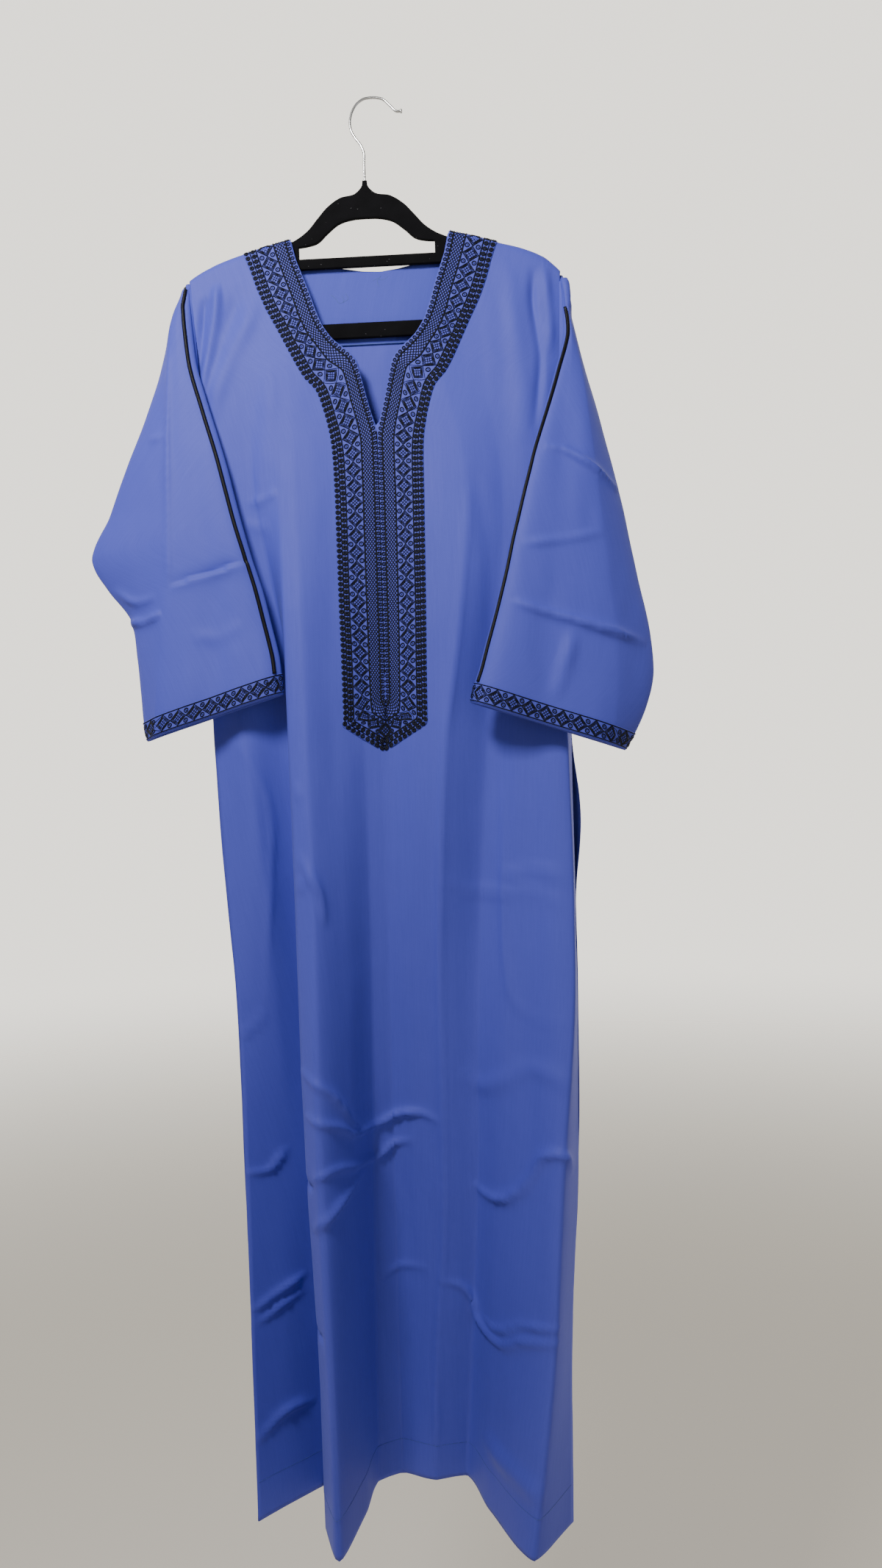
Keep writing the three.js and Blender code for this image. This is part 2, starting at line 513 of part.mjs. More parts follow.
/** Corner points of a sleeve's section, from its back seam edge round the outside to its front one. */
function sleeveSection(stations, side, t) {
  const places = stations.map((_, i) => i);
  const read = (value) => smoothAt(places, stations.map(value), t, 0.85);
  const zInner = read((s) => s.z[0]);
  const zOuter = read((s) => s.z[1]);
  const innerX = read((s) => s.inner);
  const outerX = read((s) => s.outer[0]);
  const seamX = read((s) => s.seam[0]);
  const creaseX = read((s) => s.crease[0]);
  const face = read((s) => s.face);
  const ply = read((s) => s.ply);
  const cordX = innerX + side * Math.min(CORD_INSET[side < 0 ? 'right' : 'left'],
    Math.abs(creaseX - innerX) * 0.5);
  const point = (x, y) => new THREE.Vector3(
    x, y, zInner + ((zOuter - zInner) * (x - innerX)) / (outerX - innerX));
  return [
    point(seamX + side * SEAM_GAP, read((s) => s.seam[2])),
    point((seamX + outerX) / 2, read((s) => s.back)),
    point(outerX, read((s) => s.outer[1])),
    point(creaseX, read((s) => s.crease[1])),
    point((creaseX + cordX) / 2, face - 1),
    point(cordX, face),
    point(innerX, (face + ply) / 2),
    point((innerX + seamX) / 2, ply),
    point(seamX, read((s) => s.seam[1])),
  ];
}

function sleeveGrid(stations, side, from, to, rowCount) {
  return Array.from({ length: rowCount }, (_, r) => {
    const t = from + ((to - from) * r) / (rowCount - 1);
    return smoothLine(sleeveSection(stations, side, t), SLEEVE_STEPS, 0.7);
  });
}

/** A tube of half-round section along a line of points, raised from the cloth by its normals. */
function cordAlong(line, normals) {
  const sides = 8;
  const rings = line.map((point, i) => {
    const ahead = line[Math.min(i + 1, line.length - 1)].clone();
    const tangent = ahead.sub(line[Math.max(i - 1, 0)]).normalize();
    const across = new THREE.Vector3().crossVectors(tangent, normals[i]).normalize();
    return Array.from({ length: sides }, (_, k) => {
      const turn = (2 * Math.PI * (k + 0.5)) / sides;
      return point.clone()
        .addScaledVector(across, (CORD_WIDTH / 2) * Math.cos(turn))
        .addScaledVector(normals[i], CORD_HEIGHT / 2 + SEAM_GAP + (CORD_HEIGHT / 2) * Math.sin(turn));
    });
  });
  return closedTube(rings);
}

/** Closed geometry through rings of points, with flat ends. */
function closedTube(rings) {
  const sides = rings[0].length;
  const middle = (ring) => ring.reduce((sum, p) => sum.add(p), new THREE.Vector3())
    .divideScalar(ring.length);
  const points = [...rings.flat(), middle(rings[0]), middle(rings.at(-1))];
  const last = rings.length - 1;
  const triangles = [];
  for (let k = 0; k < sides; k += 1) {
    const next = (k + 1) % sides;
    for (let r = 0; r < last; r += 1) {
      const a = r * sides;
      const b = (r + 1) * sides;
      triangles.push([a + k, a + next, b + next], [a + k, b + next, b + k]);
    }
    triangles.push([points.length - 2, next, k]);
    triangles.push([points.length - 1, last * sides + k, last * sides + next]);
  }
  return closedGeometry(points, triangles);
}

/** Some rows of a grid, with the edges that face the other rows drawn back by half a seam gap. */
function gridPart(grid, from, to) {
  const part = grid.slice(from, to + 1).map((line) => line.map((point) => point.clone()));
  const drawBack = (edge, next) => edge.forEach((point, c) => {
    point.addScaledVector(next[c].clone().sub(point).normalize(), SEAM_GAP / 2);
  });
  if (from > 0) drawBack(part[0], part[1]);
  if (to < grid.length - 1) drawBack(part.at(-1), part.at(-2));
  return part;
}

function addSleeve(name, stations, side) {
  const last = stations.length - 1;
  const inner = sleeveGrid(stations, side, 0, last, Math.round(last * SLEEVE_ROWS_PER_STATION) + 1);
  const normals = gridNormals(inner, side < 0 ? 1 : -1);
  const outer = movedGrid(inner, normals, CLOTH_WALL);
  const parts = { upper: [0, SLEEVE_CUT_ROW], lower: [SLEEVE_CUT_ROW, inner.length - 1] };
  for (const [part, [from, to]] of Object.entries(parts)) {
    const wall = wallBetween(gridPart(inner, from, to), gridPart(outer, from, to));
    addPiece(`${part}_sleeve_${name}`, wall, FINISH.cloth);
  }

  const cuff = sleeveGrid(stations, side, last - 1, last - 0.06, 4);
  const cuffNormals = gridNormals(cuff, side < 0 ? 1 : -1);
  const band = wallBetween(
    movedGrid(cuff, cuffNormals, CLOTH_WALL + SEAM_GAP),
    movedGrid(cuff, cuffNormals, CLOTH_WALL + SEAM_GAP + BAND_WALL));
  addPiece(`cuff_band_${name}`, band, FINISH.embroidery);

  const cordColumn = SLEEVE_STEPS.slice(0, 5).reduce((sum, n) => sum + n, 0);
  const rows = outer.length - 2;
  const line = outer.slice(1, rows).map((points) => points[cordColumn]);
  const up = normals.slice(1, rows).map((points) => points[cordColumn]);
  addPiece(`cord_${name}`, cordAlong(line, up), FINISH.cord);
}
addSleeve('right', RIGHT_SLEEVE, -1);
addSleeve('left', LEFT_SLEEVE, 1);

// ---- Hanger ----

function hangerBody() {
  const bothSides = (rows) => {
    const side = (sign) => rows.map(({ d, z }) => new THREE.Vector2(sign * d, z));
    return { left: side(-1).reverse(), right: side(1) };
  };
  const top = bothSides(ARCH_TOP);
  const tip = bothSides(TIP_UNDER);
  const outline = new THREE.Shape([...top.left, ...top.right, ...tip.right, ...tip.left].reverse());

  const under = bothSides(ARCH_UNDER);
  const insidePost = TIE_BAR.half;
  outline.holes.push(new THREE.Path([
    ...under.left.slice(0, -1), ...under.right,
    new THREE.Vector2(insidePost, TIE_BAR.top), new THREE.Vector2(-insidePost, TIE_BAR.top),
  ]));

  const arm = bothSides(ARM_UNDER);
  const outsidePost = TIE_BAR.half + TIE_BAR.post;
  outline.holes.push(new THREE.Path([
    ...arm.left,
    new THREE.Vector2(-outsidePost, TIE_BAR.bottom), new THREE.Vector2(outsidePost, TIE_BAR.bottom),
    ...arm.right,
    new THREE.Vector2(150, TROUSER_BAR.top), new THREE.Vector2(-150, TROUSER_BAR.top),
  ]));
  const edge = 1;
  const body = new THREE.ExtrudeGeometry(outline, {
    depth: HANGER_THICK - 2 * edge, bevelThickness: edge, bevelSize: edge, bevelOffset: -edge,
    bevelSegments: 1,
  });
  body.rotateX(Math.PI / 2);
  body.translate(HANGER_CENTRE, HANGER_THICK / 2 - edge, 0);
  return body;
}
addPiece('hanger_body', hangerBody(), FINISH.flock);

/** Hook: a round wire bent in one plane, with a small ball on its open end. */
function hangerHook() {
  const bend = new THREE.CatmullRomCurve3(
    HOOK_LINE.map(({ x, z }) => new THREE.Vector3(x, 0, z)), false, 'centripetal');
  const ringCount = 30;
  const sides = 8;
  const rings = Array.from({ length: ringCount }, (_, i) => {
    const t = i / (ringCount - 1);
    const tangent = bend.getTangentAt(t);
    const across = new THREE.Vector3(tangent.z, 0, -tangent.x);
    return Array.from({ length: sides }, (_, k) => {
      const turn = (2 * Math.PI * (k + 0.5)) / sides;
      return bend.getPointAt(t)
        .addScaledVector(across, WIRE_RADIUS * Math.cos(turn))
        .add(new THREE.Vector3(0, WIRE_RADIUS * Math.sin(turn), 0));
    });
  });
  const ball = new THREE.SphereGeometry(HOOK_BALL, 10, 8);
  ball.translate(HOOK_LINE[0].x, 0, HOOK_LINE[0].z);
  return fromManifold(toManifold(closedTube(rings)).add(toManifold(ball)));
}
addPiece('hanger_hook', hangerHook(), FINISH.steel);

export default thobe;
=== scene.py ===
"""A long thobe of plain blue cloth on a flocked clothes hanger, dressed for rendering.

Sizes are millimetres in the object's own frame: +Z up, -Y towards the wearer's front, +X towards the
wearer's left, with the origin under the crest of the hook. They become metres where a mesh is made.
"""

import logging
import math
from dataclasses import dataclass, field
from enum import Enum
from typing import Any, Callable, Sequence

import bpy
import numpy as np
from mathutils import Matrix, Vector


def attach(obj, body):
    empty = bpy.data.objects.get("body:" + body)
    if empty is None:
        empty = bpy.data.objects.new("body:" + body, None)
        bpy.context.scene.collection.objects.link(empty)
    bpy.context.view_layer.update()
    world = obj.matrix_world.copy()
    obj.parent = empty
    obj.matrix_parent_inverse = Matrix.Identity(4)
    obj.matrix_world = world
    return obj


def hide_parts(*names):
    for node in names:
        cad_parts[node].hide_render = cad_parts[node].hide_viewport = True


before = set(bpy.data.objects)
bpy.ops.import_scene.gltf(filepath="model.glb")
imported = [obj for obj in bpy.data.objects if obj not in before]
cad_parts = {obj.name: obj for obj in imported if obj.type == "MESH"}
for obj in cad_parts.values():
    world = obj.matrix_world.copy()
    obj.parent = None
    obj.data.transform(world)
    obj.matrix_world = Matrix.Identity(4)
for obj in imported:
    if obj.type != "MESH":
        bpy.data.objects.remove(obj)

MM = 0.001
NOISE_KNOTS = 64  # knots of the soft noise each way, before it repeats
NOISE_START = (31.7, 17.3)
Array = np.ndarray
Pair = tuple[float, float]
log = logging.getLogger("thobe")


# ---- Smooth lines through tables ----


def secant_slopes(places: Array, values: Array) -> Array:
    """Slopes of a smooth line at each of its places.

    Args:
        places: Rising places, (..., K).
        values: Values at them, (..., K, D).

    Returns:
        The slopes, (..., K, D).
    """
    gaps = np.diff(places, axis=-1)[..., None]
    secants = np.diff(values, axis=-2) / gaps
    before, after = gaps[..., :-1, :], gaps[..., 1:, :]
    inner = (secants[..., :-1, :] * after + secants[..., 1:, :] * before) / (before + after)
    return np.concatenate([secants[..., :1, :], inner, secants[..., -1:, :]], axis=-2)


def hermite(start: Array, end: Array, slopes: tuple[Array, Array], span: Array, s: Array,
            softness: float) -> Array:
    """Cubic between two values.

    Args:
        start: Values at s = 0.
        end: Values at s = 1.
        slopes: Slopes at both ends.
        span: Length from start to end.
        s: Share of the way, 0 to 1.
        softness: 1 for the full curve and 0 for a straight line.

    Returns:
        The values at s.
    """
    chord = end - start
    leave, arrive = (softness * m * span + (1 - softness) * chord for m in slopes)
    return start + chord * s * s * (3 - 2 * s) + leave * s * (1 - s) ** 2 - arrive * s * s * (1 - s)


def read_table(places: Sequence[float], values: Array, at: Array, softness: float = 1.0) -> Array:
    """Reads smooth lines through a table.

    Args:
        places: The key column, rising or falling.
        values: The other columns, (K, D).
        at: Places to read, (N,).
        softness: How far the lines round their corners.

    Returns:
        Values, (N, D).
    """
    order = np.argsort(places)
    keys, table = np.asarray(places, float)[order], np.asarray(values, float)[order]
    k = np.clip(np.searchsorted(keys, at, side="right") - 1, 0, len(keys) - 2)
    span = (keys[k + 1] - keys[k])[:, None]
    s = np.clip((at - keys[k])[:, None] / span, 0, 1)
    slopes = secant_slopes(keys, table)
    return hermite(table[k], table[k + 1], (slopes[k], slopes[k + 1]), span, s, softness)


def read_corners(corners: Array, place: Array, softness: float) -> Array:
    """Points on smooth lines through corner points, one line for each reading.

    Args:
        corners: Corner points, (N, K, D).
        place: Corner number with its fraction, (N,).
        softness: How far the lines round their corners.

    Returns:
        Points, (N, D).
    """
    gaps = np.maximum(np.linalg.norm(np.diff(corners, axis=1), axis=2), 0.05)
    along = np.concatenate([np.zeros((len(gaps), 1)), np.cumsum(gaps, axis=1)], axis=1)
    slopes = secant_slopes(along, corners)
    k = np.clip(place.astype(int), 0, corners.shape[1] - 2)
    n = np.arange(len(place))
    return hermite(corners[n, k], corners[n, k + 1], (slopes[n, k], slopes[n, k + 1]),
                   gaps[n, k][:, None], (place - k)[:, None], softness)


def distances(line: Array) -> Array:
    """Distance walked along a line, at each of its points.

    Args:
        line: Its points, (N, D).

    Returns:
        Distances from its start, (N,).
    """
    return np.concatenate([[0], np.cumsum(np.linalg.norm(np.diff(line, axis=0), axis=1))])


def smooth_path(points: Sequence[Sequence[float]], step: float) -> Array:
    """A smooth line through a few points.

    Args:
        points: Its points.
        step: Distance between the points returned.

    Returns:
        Points, (N, D).
    """
    corners = np.asarray(points, float)
    if len(corners) == 2:
        count = max(int(np.linalg.norm(corners[1] - corners[0]) / step), 2)
        return corners[0] + (corners[1] - corners[0]) * np.linspace(0, 1, count)[:, None]
    length = distances(corners)
    return read_table(length, corners, np.linspace(0, length[-1], max(int(length[-1] / step), 4)))


def ramp(edge: float, full: float, value: Array) -> Array:
    """Smooth step from 0 at one value to 1 at another.

    Args:
        edge: Value where it is 0.
        full: Value where it is 1.
        value: Values to read.

    Returns:
        0 to 1.
    """
    s = np.clip((value - edge) / (full - edge), 0, 1)
    return s * s * (3 - 2 * s)


def soft_noise(x: Array, z: Array, size: Pair, seed: int) -> Array:
    """Smooth noise over a sheet, from -1 to 1.

    Args:
        x: First coordinates.
        z: Second coordinates.
        size: Width and height of one swell.
        seed: Picks the pattern.

    Returns:
        The noise at each point.
    """
    knots = np.random.RandomState(seed).uniform(-1, 1, (NOISE_KNOTS, NOISE_KNOTS))
    u, v = x / size[0] + NOISE_START[0], z / size[1] + NOISE_START[1]
    i, j = np.floor(u).astype(int), np.floor(v).astype(int)
    fu, fv = ramp(0, 1, u - i), ramp(0, 1, v - j)
    at = lambda a, b: knots[a % NOISE_KNOTS, b % NOISE_KNOTS]
    low = at(i, j) * (1 - fu) + at(i + 1, j) * fu
    high = at(i, j + 1) * (1 - fu) + at(i + 1, j + 1) * fu
    return low * (1 - fv) + high * fv


def bilinear(grid: Array, i: Array, j: Array) -> Array:
    """Reads a grid between its points.

    Args:
        grid: Values, (R, C) or (R, C, D).
        i: Row numbers with their fractions.
        j: Column numbers with their fractions.

    Returns:
        The value at each place.
    """
    i, j = np.clip(i, 0, len(grid) - 1.001), np.clip(j, 0, grid.shape[1] - 1.001)
    r, c = i.astype(int), j.astype(int)
    deep = (...,) + (None,) * (grid.ndim - 2)
    fr, fc = (i - r)[deep], (j - c)[deep]
    low = grid[r, c] * (1 - fc) + grid[r, c + 1] * fc
    high = grid[r + 1, c] * (1 - fc) + grid[r + 1, c + 1] * fc
    return low * (1 - fr) + high * fr


# ---- Creases ----

CREASE_STEP = 2.5  # distance between the points of a crease's line
CREASE_REACH = 4.5  # half widths beyond which the cloth lies flat
CREASE_WAVER = 0.22  # share by which a crease's height comes and goes


class Profile(Enum):
    """How the cloth runs across a crease."""

    ROLL = "roll"  # a soft round ridge or trough
    PINCH = "pinch"  # a sharp line with hollow flanks
    STEP = "step"  # the cloth stands higher on the right of the line than on the left


@dataclass(frozen=True)
class Crease:
    """A crease, drawn on a panel as it is seen from the front.

    Attributes:
        line: Its points as (x, z).
        height: How far it stands out, or lies in if negative.
        width: Half of its width.
        profile: Its cross section.
        fade: Shares of its length over which it starts and ends.
    """

    line: tuple[Pair, ...]
    height: float
    width: float
    profile: Profile = Profile.PINCH
    fade: Pair = (0.25, 0.25)

    def offset(self, x: Array, z: Array) -> Array:
        """How far the crease moves the cloth out.

        Args:
            x: Places of the cloth's points.
            z: Their heights.

        Returns:
            Millimetres along the cloth's normal.
        """
        path = smooth_path(self.line, CREASE_STEP)
        reach = CREASE_REACH * self.width
        low, high = path.min(0) - reach, path.max(0) + reach
        near = np.nonzero((x > low[0]) & (x < high[0]) & (z > low[1]) & (z < high[1]))[0]
        out = np.zeros(len(x))
        if not len(near):
            return out
        delta = np.stack([x[near], z[near]], 1)[:, None, :] - path[None]
        square = (delta ** 2).sum(2)
        k = square.argmin(1)
        distance = np.sqrt(square[np.arange(len(k)), k]) / self.width
        t = k / (len(path) - 1)
        size = self.height * np.clip(t / max(self.fade[0], 1e-3), 0, 1) ** 0.8
        size *= np.clip((1 - t) / max(self.fade[1], 1e-3), 0, 1) ** 0.8
        size *= 1 + CREASE_WAVER * np.sin(9.7 * t + self.line[0][0])
        if self.profile is Profile.ROLL:
            shape = np.exp(-(distance ** 2))
        elif self.profile is Profile.PINCH:
            shape = 1.25 * np.exp(-np.sqrt(distance ** 2 + 0.05) * 1.5)
        else:
            tangent = np.gradient(path, axis=0)[k]
            side = delta[np.arange(len(k)), k]
            sign = np.sign(tangent[:, 0] * side[:, 1] - tangent[:, 1] * side[:, 0])
            shape = -sign * (1 - np.exp(-distance * 3)) * np.exp(-distance * 0.7)
        out[near] = size * shape
        return out


def creased(creases: Sequence[Crease], x: Array, z: Array) -> Array:
    """Sum of many creases.

    Args:
        creases: The creases.
        x: Places of the cloth's points.
        z: Their heights.

    Returns:
        Millimetres along the cloth's normal.
    """
    return sum((crease.offset(x, z) for crease in creases), np.zeros(len(x)))


# ---- Sheets and meshes ----


@dataclass
class Sheet:
    """A cloth sheet before it gets its thickness.

    Attributes:
        points: (N, 3).
        faces: Corner numbers, (M, 4), turned so that their normals point to the outer side.
        flat: Place of each point in the flat cloth, (N, 2).
    """

    points: Array
    faces: Array
    flat: Array

    @classmethod
    def over(cls, grid: Array, flip: bool = False) -> "Sheet":
        """A sheet over a grid of points; its flat places are the distances walked along its lines.

        Args:
            grid: The points, (R, C, 3).
            flip: Turns the faces round.

        Returns:
            The sheet.
        """
        flat = np.stack([lengths_along(grid, 1), -lengths_along(grid, 0)], 2).reshape(-1, 2)
        return cls(grid.reshape(-1, 3), grid_faces(*grid.shape[:2], flip), flat)

    def normals(self) -> Array:
        """Unit normals of the points.

        Returns:
            (N, 3).
        """
        p = self.points[self.faces]
        face = np.cross(p[:, 2] - p[:, 0], p[:, 3] - p[:, 1])
        total = np.zeros_like(self.points)
        for corner in range(4):
            np.add.at(total, self.faces[:, corner], face)
        length = np.linalg.norm(total, axis=1, keepdims=True)
        return total / np.maximum(length, 1e-9)

    def moved(self, distance: Array) -> "Sheet":
        """The sheet, moved along its normals.

        Args:
            distance: How far each point moves.

        Returns:
            The moved sheet.
        """
        moved = self.points + self.normals() * np.asarray(distance).reshape(-1, 1)
        return Sheet(moved, self.faces, self.flat)

    def shell(self, outer: float, inner: float) -> tuple[Array, Array, Array]:
        """The sheet as a closed wall of one thickness.

        Args:
            outer: Distance of the outer face along the normals.
            inner: Distance of the inner face.

        Returns:
            Points, faces and flat places.
        """
        face, back = (self.moved(np.full(len(self.points), distance)) for distance in (outer, inner))
        return face.between(back)

    def between(self, inner: "Sheet") -> tuple[Array, Array, Array]:
        """A closed wall between this sheet, its outer face, and another with the same faces.

        Args:
            inner: The inner face.

        Returns:
            Points, faces and flat places.
        """
        n = len(self.points)
        points = np.concatenate([self.points, inner.points])
        edges = np.concatenate([self.faces[:, [k, (k + 1) % 4]] for k in range(4)])
        edges = edges[edges[:, 0] != edges[:, 1]]
        code, back = edges[:, 0] * n + edges[:, 1], edges[:, 1] * n + edges[:, 0]
        a, b = edges[~np.isin(code, back)].T
        rim = np.stack([b, a, a + n, b + n], 1)
        faces = np.concatenate([self.faces, self.faces[:, ::-1] + n, rim])
        return points, faces, np.concatenate([self.flat, self.flat])


def grid_faces(rows: int, columns: int, flip: bool = False) -> Array:
    """Faces of a grid of points.

    Args:
        rows: Number of rows.
        columns: Points in a row.
        flip: Turns the faces round.

    Returns:
        Corner numbers, (M, 4).
    """
    r, c = np.meshgrid(np.arange(rows - 1), np.arange(columns - 1), indexing="ij")
    a = (r * columns + c).ravel()
    faces = np.stack([a, a + columns, a + columns + 1, a + 1], 1)
    return faces[:, ::-1] if flip else faces


def lengths_along(grid: Array, axis: int) -> Array:
    """Distance walked along a grid's lines.

    Args:
        grid: Points, (R, C, 3).
        axis: 0 to walk down the columns, 1 along the rows.

    Returns:
        (R, C).
    """
    steps = np.linalg.norm(np.diff(grid, axis=axis), axis=2)
    start = np.zeros_like(steps.take([0], axis))
    return np.concatenate([start, np.cumsum(steps, axis)], axis)


def add_mesh(name: str, points: Array, faces: Array, flat: Array) -> bpy.types.Object:
    """Makes a mesh object in metres.

    Args:
        name: The piece's name.
        points: Millimetres, (N, 3).
        faces: Corner numbers, (M, 3 or 4).
        flat: Millimetres in the flat cloth, (N, 2), for the attribute that the materials read.

    Returns:
        The object.
    """
    mesh = bpy.data.meshes.new(name)
    mesh.from_pydata((points * MM).tolist(), [], faces.tolist())
    mesh.polygons.foreach_set("use_smooth", np.full(len(mesh.polygons), True))
    layer = mesh.attributes.new("flat", "FLOAT_VECTOR", "POINT")
    values = np.zeros((len(points), 3), np.float32)
    values[:, :2] = flat * MM
    layer.data.foreach_set("vector", values.ravel())
    mesh.update()
    piece = bpy.data.objects.new(name, mesh)
    bpy.context.collection.objects.link(piece)
    return piece


def dress(piece: bpy.types.Object, material: bpy.types.Material,
          replaces: Sequence[str] = ()) -> None:
    """Gives a piece its material and its place in the frame.

    Args:
        piece: The object.
        material: Its material.
        replaces: CAD nodes that it stands for.
    """
    piece.data.materials.clear()
    piece.data.materials.append(material)
    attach(piece, "root")
    for node in replaces:
        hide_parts(node)
    log.info("built %s with %d faces", piece.name, len(piece.data.polygons))


# ---- Materials ----


@dataclass
class Nodes:
    """Short way to build a node tree."""

    tree: bpy.types.NodeTree

    def wire(self, node: bpy.types.Node, inputs: dict) -> bpy.types.Node:
        """Sets or links a node's inputs.

        Args:
            node: The node.
            inputs: Values or sockets by the input's name or number.

        Returns:
            The node.
        """
        for name, value in inputs.items():
            if isinstance(value, bpy.types.NodeSocket):
                self.tree.links.new(value, node.inputs[name])
            else:
                node.inputs[name].default_value = value
        return node

    def add(self, kind: str, inputs: dict | None = None, **settings: Any) -> bpy.types.Node:
        """Adds a node.

        Args:
            kind: Its type without the ShaderNode in front.
            inputs: Values or sockets by the input's name or number.
            **settings: The node's own settings.

        Returns:
            The node.
        """
        made = self.tree.nodes.new(f"ShaderNode{kind}")
        for name, value in settings.items():
            setattr(made, name, value)
        return self.wire(made, inputs or {})

    def maths(self, operation: str, *values: Any) -> bpy.types.NodeSocket:
        """Adds a Math node.

        Args:
            operation: Its operation.
            *values: Numbers or sockets.

        Returns:
            Its output.
        """
        return self.add("Math", dict(enumerate(values)), operation=operation).outputs[0]

    def total(self, *parts: tuple[bpy.types.NodeSocket, float]) -> bpy.types.NodeSocket:
        """Adds up values.

        Args:
            *parts: Each value with its weight.

        Returns:
            The sum.
        """
        made = 0.0
        for value, weight in parts:
            made = self.maths("ADD", made, self.maths("MULTIPLY", value, weight))
        return made

    def mix(self, share: bpy.types.NodeSocket, low: Any, high: Any) -> bpy.types.NodeSocket:
        """Mixes two colours.

        Args:
            share: Share of the second.
            low: Colour at 0, or its socket.
            high: Colour at 1, or its socket.

        Returns:
            The colour.
        """
        low, high = (c if isinstance(c, bpy.types.NodeSocket) else (*c, 1.0) for c in (low, high))
        return self.add("Mix", {0: share, 6: low, 7: high}, data_type="RGBA").outputs[2]

    def span(self, value: bpy.types.NodeSocket, low: float, high: float, ends: Pair = (0.0, 1.0),
             kind: str = "LINEAR") -> bpy.types.NodeSocket:
        """Maps a value onto a range.

        Args:
            value: The value.
            low: Result at the first end.
            high: Result at the second end.
            ends: Values that give them.
            kind: How it runs between them.

        Returns:
            The result.
        """
        return self.add("MapRange", {0: value, 1: ends[0], 2: ends[1], 3: low, 4: high},
                        interpolation_type=kind).outputs[0]

    def noise(self, place: bpy.types.NodeSocket, scale: float, detail: float,
              roughness: float = 0.5) -> bpy.types.NodeSocket:
        """Adds a noise texture.

        Args:
            place: Where it is read.
            scale: Its scale.
            detail: Its detail.
            roughness: Its roughness.

        Returns:
            Its value.
        """
        return self.add("TexNoise", {"Vector": place, "Scale": scale, "Detail": detail,
                                     "Roughness": roughness}).outputs["Fac"]

    def bump(self, height: bpy.types.NodeSocket, strength: float, distance: float) -> bpy.types.NodeSocket:
        """Turns a height into a bent normal.

        Args:
            height: The height.
            strength: Strength of the relief.
            distance: What a height of 1 is, in metres.

        Returns:
            The normal.
        """
        return self.add("Bump", {"Height": height, "Strength": strength, "Distance": distance}).outputs[0]


def open_material(name: str) -> tuple[bpy.types.Material, Nodes, bpy.types.Node]:
    """Starts a material.

    Args:
        name: Its name.

    Returns:
        The material, its nodes and its shader.
    """
    material = bpy.data.materials.new(name)
    material.use_nodes = True
    n = Nodes(material.node_tree)
    return material, n, n.tree.nodes["Principled BSDF"]


def open_group(name: str, takes: dict[str, tuple[str, object]],
               gives: Sequence[tuple[str, str]]) -> tuple[Nodes, bpy.types.Node, bpy.types.Node]:
    """Starts a shader node group.

    Args:
        name: The group's name.
        takes: Inputs as name to socket type and value.
        gives: Outputs as name and socket type.

    Returns:
        The nodes, the group's input and its output.
    """
    tree = bpy.data.node_groups.new(name, "ShaderNodeTree")
    for label, (kind, value) in takes.items():
        socket = tree.interface.new_socket(label, in_out="INPUT", socket_type=f"NodeSocket{kind}")
        if value is not None:
            socket.default_value = value
    for label, kind in gives:
        tree.interface.new_socket(label, in_out="OUTPUT", socket_type=f"NodeSocket{kind}")
    return Nodes(tree), tree.nodes.new("NodeGroupInput"), tree.nodes.new("NodeGroupOutput")


def weave_group() -> bpy.types.NodeTree:
    """Plain weave with slubs: uneven threads down and across the cloth.

    Returns:
        The group; it takes the cloth's place in metres and gives a tone, partly painted shade, and a height.
    """
    n, take, give = open_group(
        "Slub weave",
        {"Vector": ("Vector", None), "Threads": ("Float", 2600.0), "Slub": ("Float", 1.0)},
        [("Tone", "Float"), ("Height", "Float")])
    place = take.outputs["Vector"]
    streaks = []
    for scale, detail, weight in (((1500.0, 42.0, 1.0), 3.0, 0.5), ((340.0, 9.0, 1.0), 2.0, 0.3),
                                  ((36.0, 1300.0, 1.0), 2.0, 0.2)):
        stretched = n.add("Mapping", {"Vector": place, "Scale": scale}).outputs[0]
        streaks.append((n.noise(stretched, 1.0, detail, 0.6), weight))
    slub = n.total(*streaks)
    split = n.add("SeparateXYZ", {0: place})
    ways = [n.maths("SINE", n.maths("MULTIPLY", out, take.outputs["Threads"])) for out in split.outputs[:2]]
    # tone follows the slubs that raise the height: painted shade on the lower threads, with the slubs' own
    # random tone
    tone = n.maths("ADD", 0.5, n.maths("MULTIPLY", n.maths("SUBTRACT", slub, 0.5), take.outputs["Slub"]))
    n.wire(give, {"Tone": tone, "Height": n.total((slub, 1.0), (n.maths("MULTIPLY", *ways), 0.16))})
    return n.tree


def thread_group() -> bpy.types.NodeTree:
    """Slanting stitches laid side by side over a strand.

    Returns:
        The group; it takes the place along and across the strand and gives a tone, half painted shade, and a
        height.
    """
    n, take, give = open_group(
        "Laid thread", {"Vector": ("Vector", None), "Pitch": ("Float", 0.0005), "Slant": ("Float", 0.6)},
        [("Tone", "Float"), ("Height", "Float")])
    place = take.outputs["Vector"]
    split = n.add("SeparateXYZ", {0: place})
    lean = n.maths("MULTIPLY", split.outputs[1], take.outputs["Slant"])
    turns = n.maths("DIVIDE", n.maths("ADD", split.outputs[0], lean), take.outputs["Pitch"])
    wave = n.maths("SINE", n.maths("MULTIPLY", turns, 2 * math.pi))
    height = n.maths("ADD", 0.5, n.maths("MULTIPLY", wave, 0.5))
    # half of the tone is the stitch height, which paints shade between stitches; the other half is random
    # noise
    n.wire(give, {"Tone": n.total((height, 0.5), (n.noise(place, 900.0, 2.0), 0.5)), "Height": height})
    return n.tree


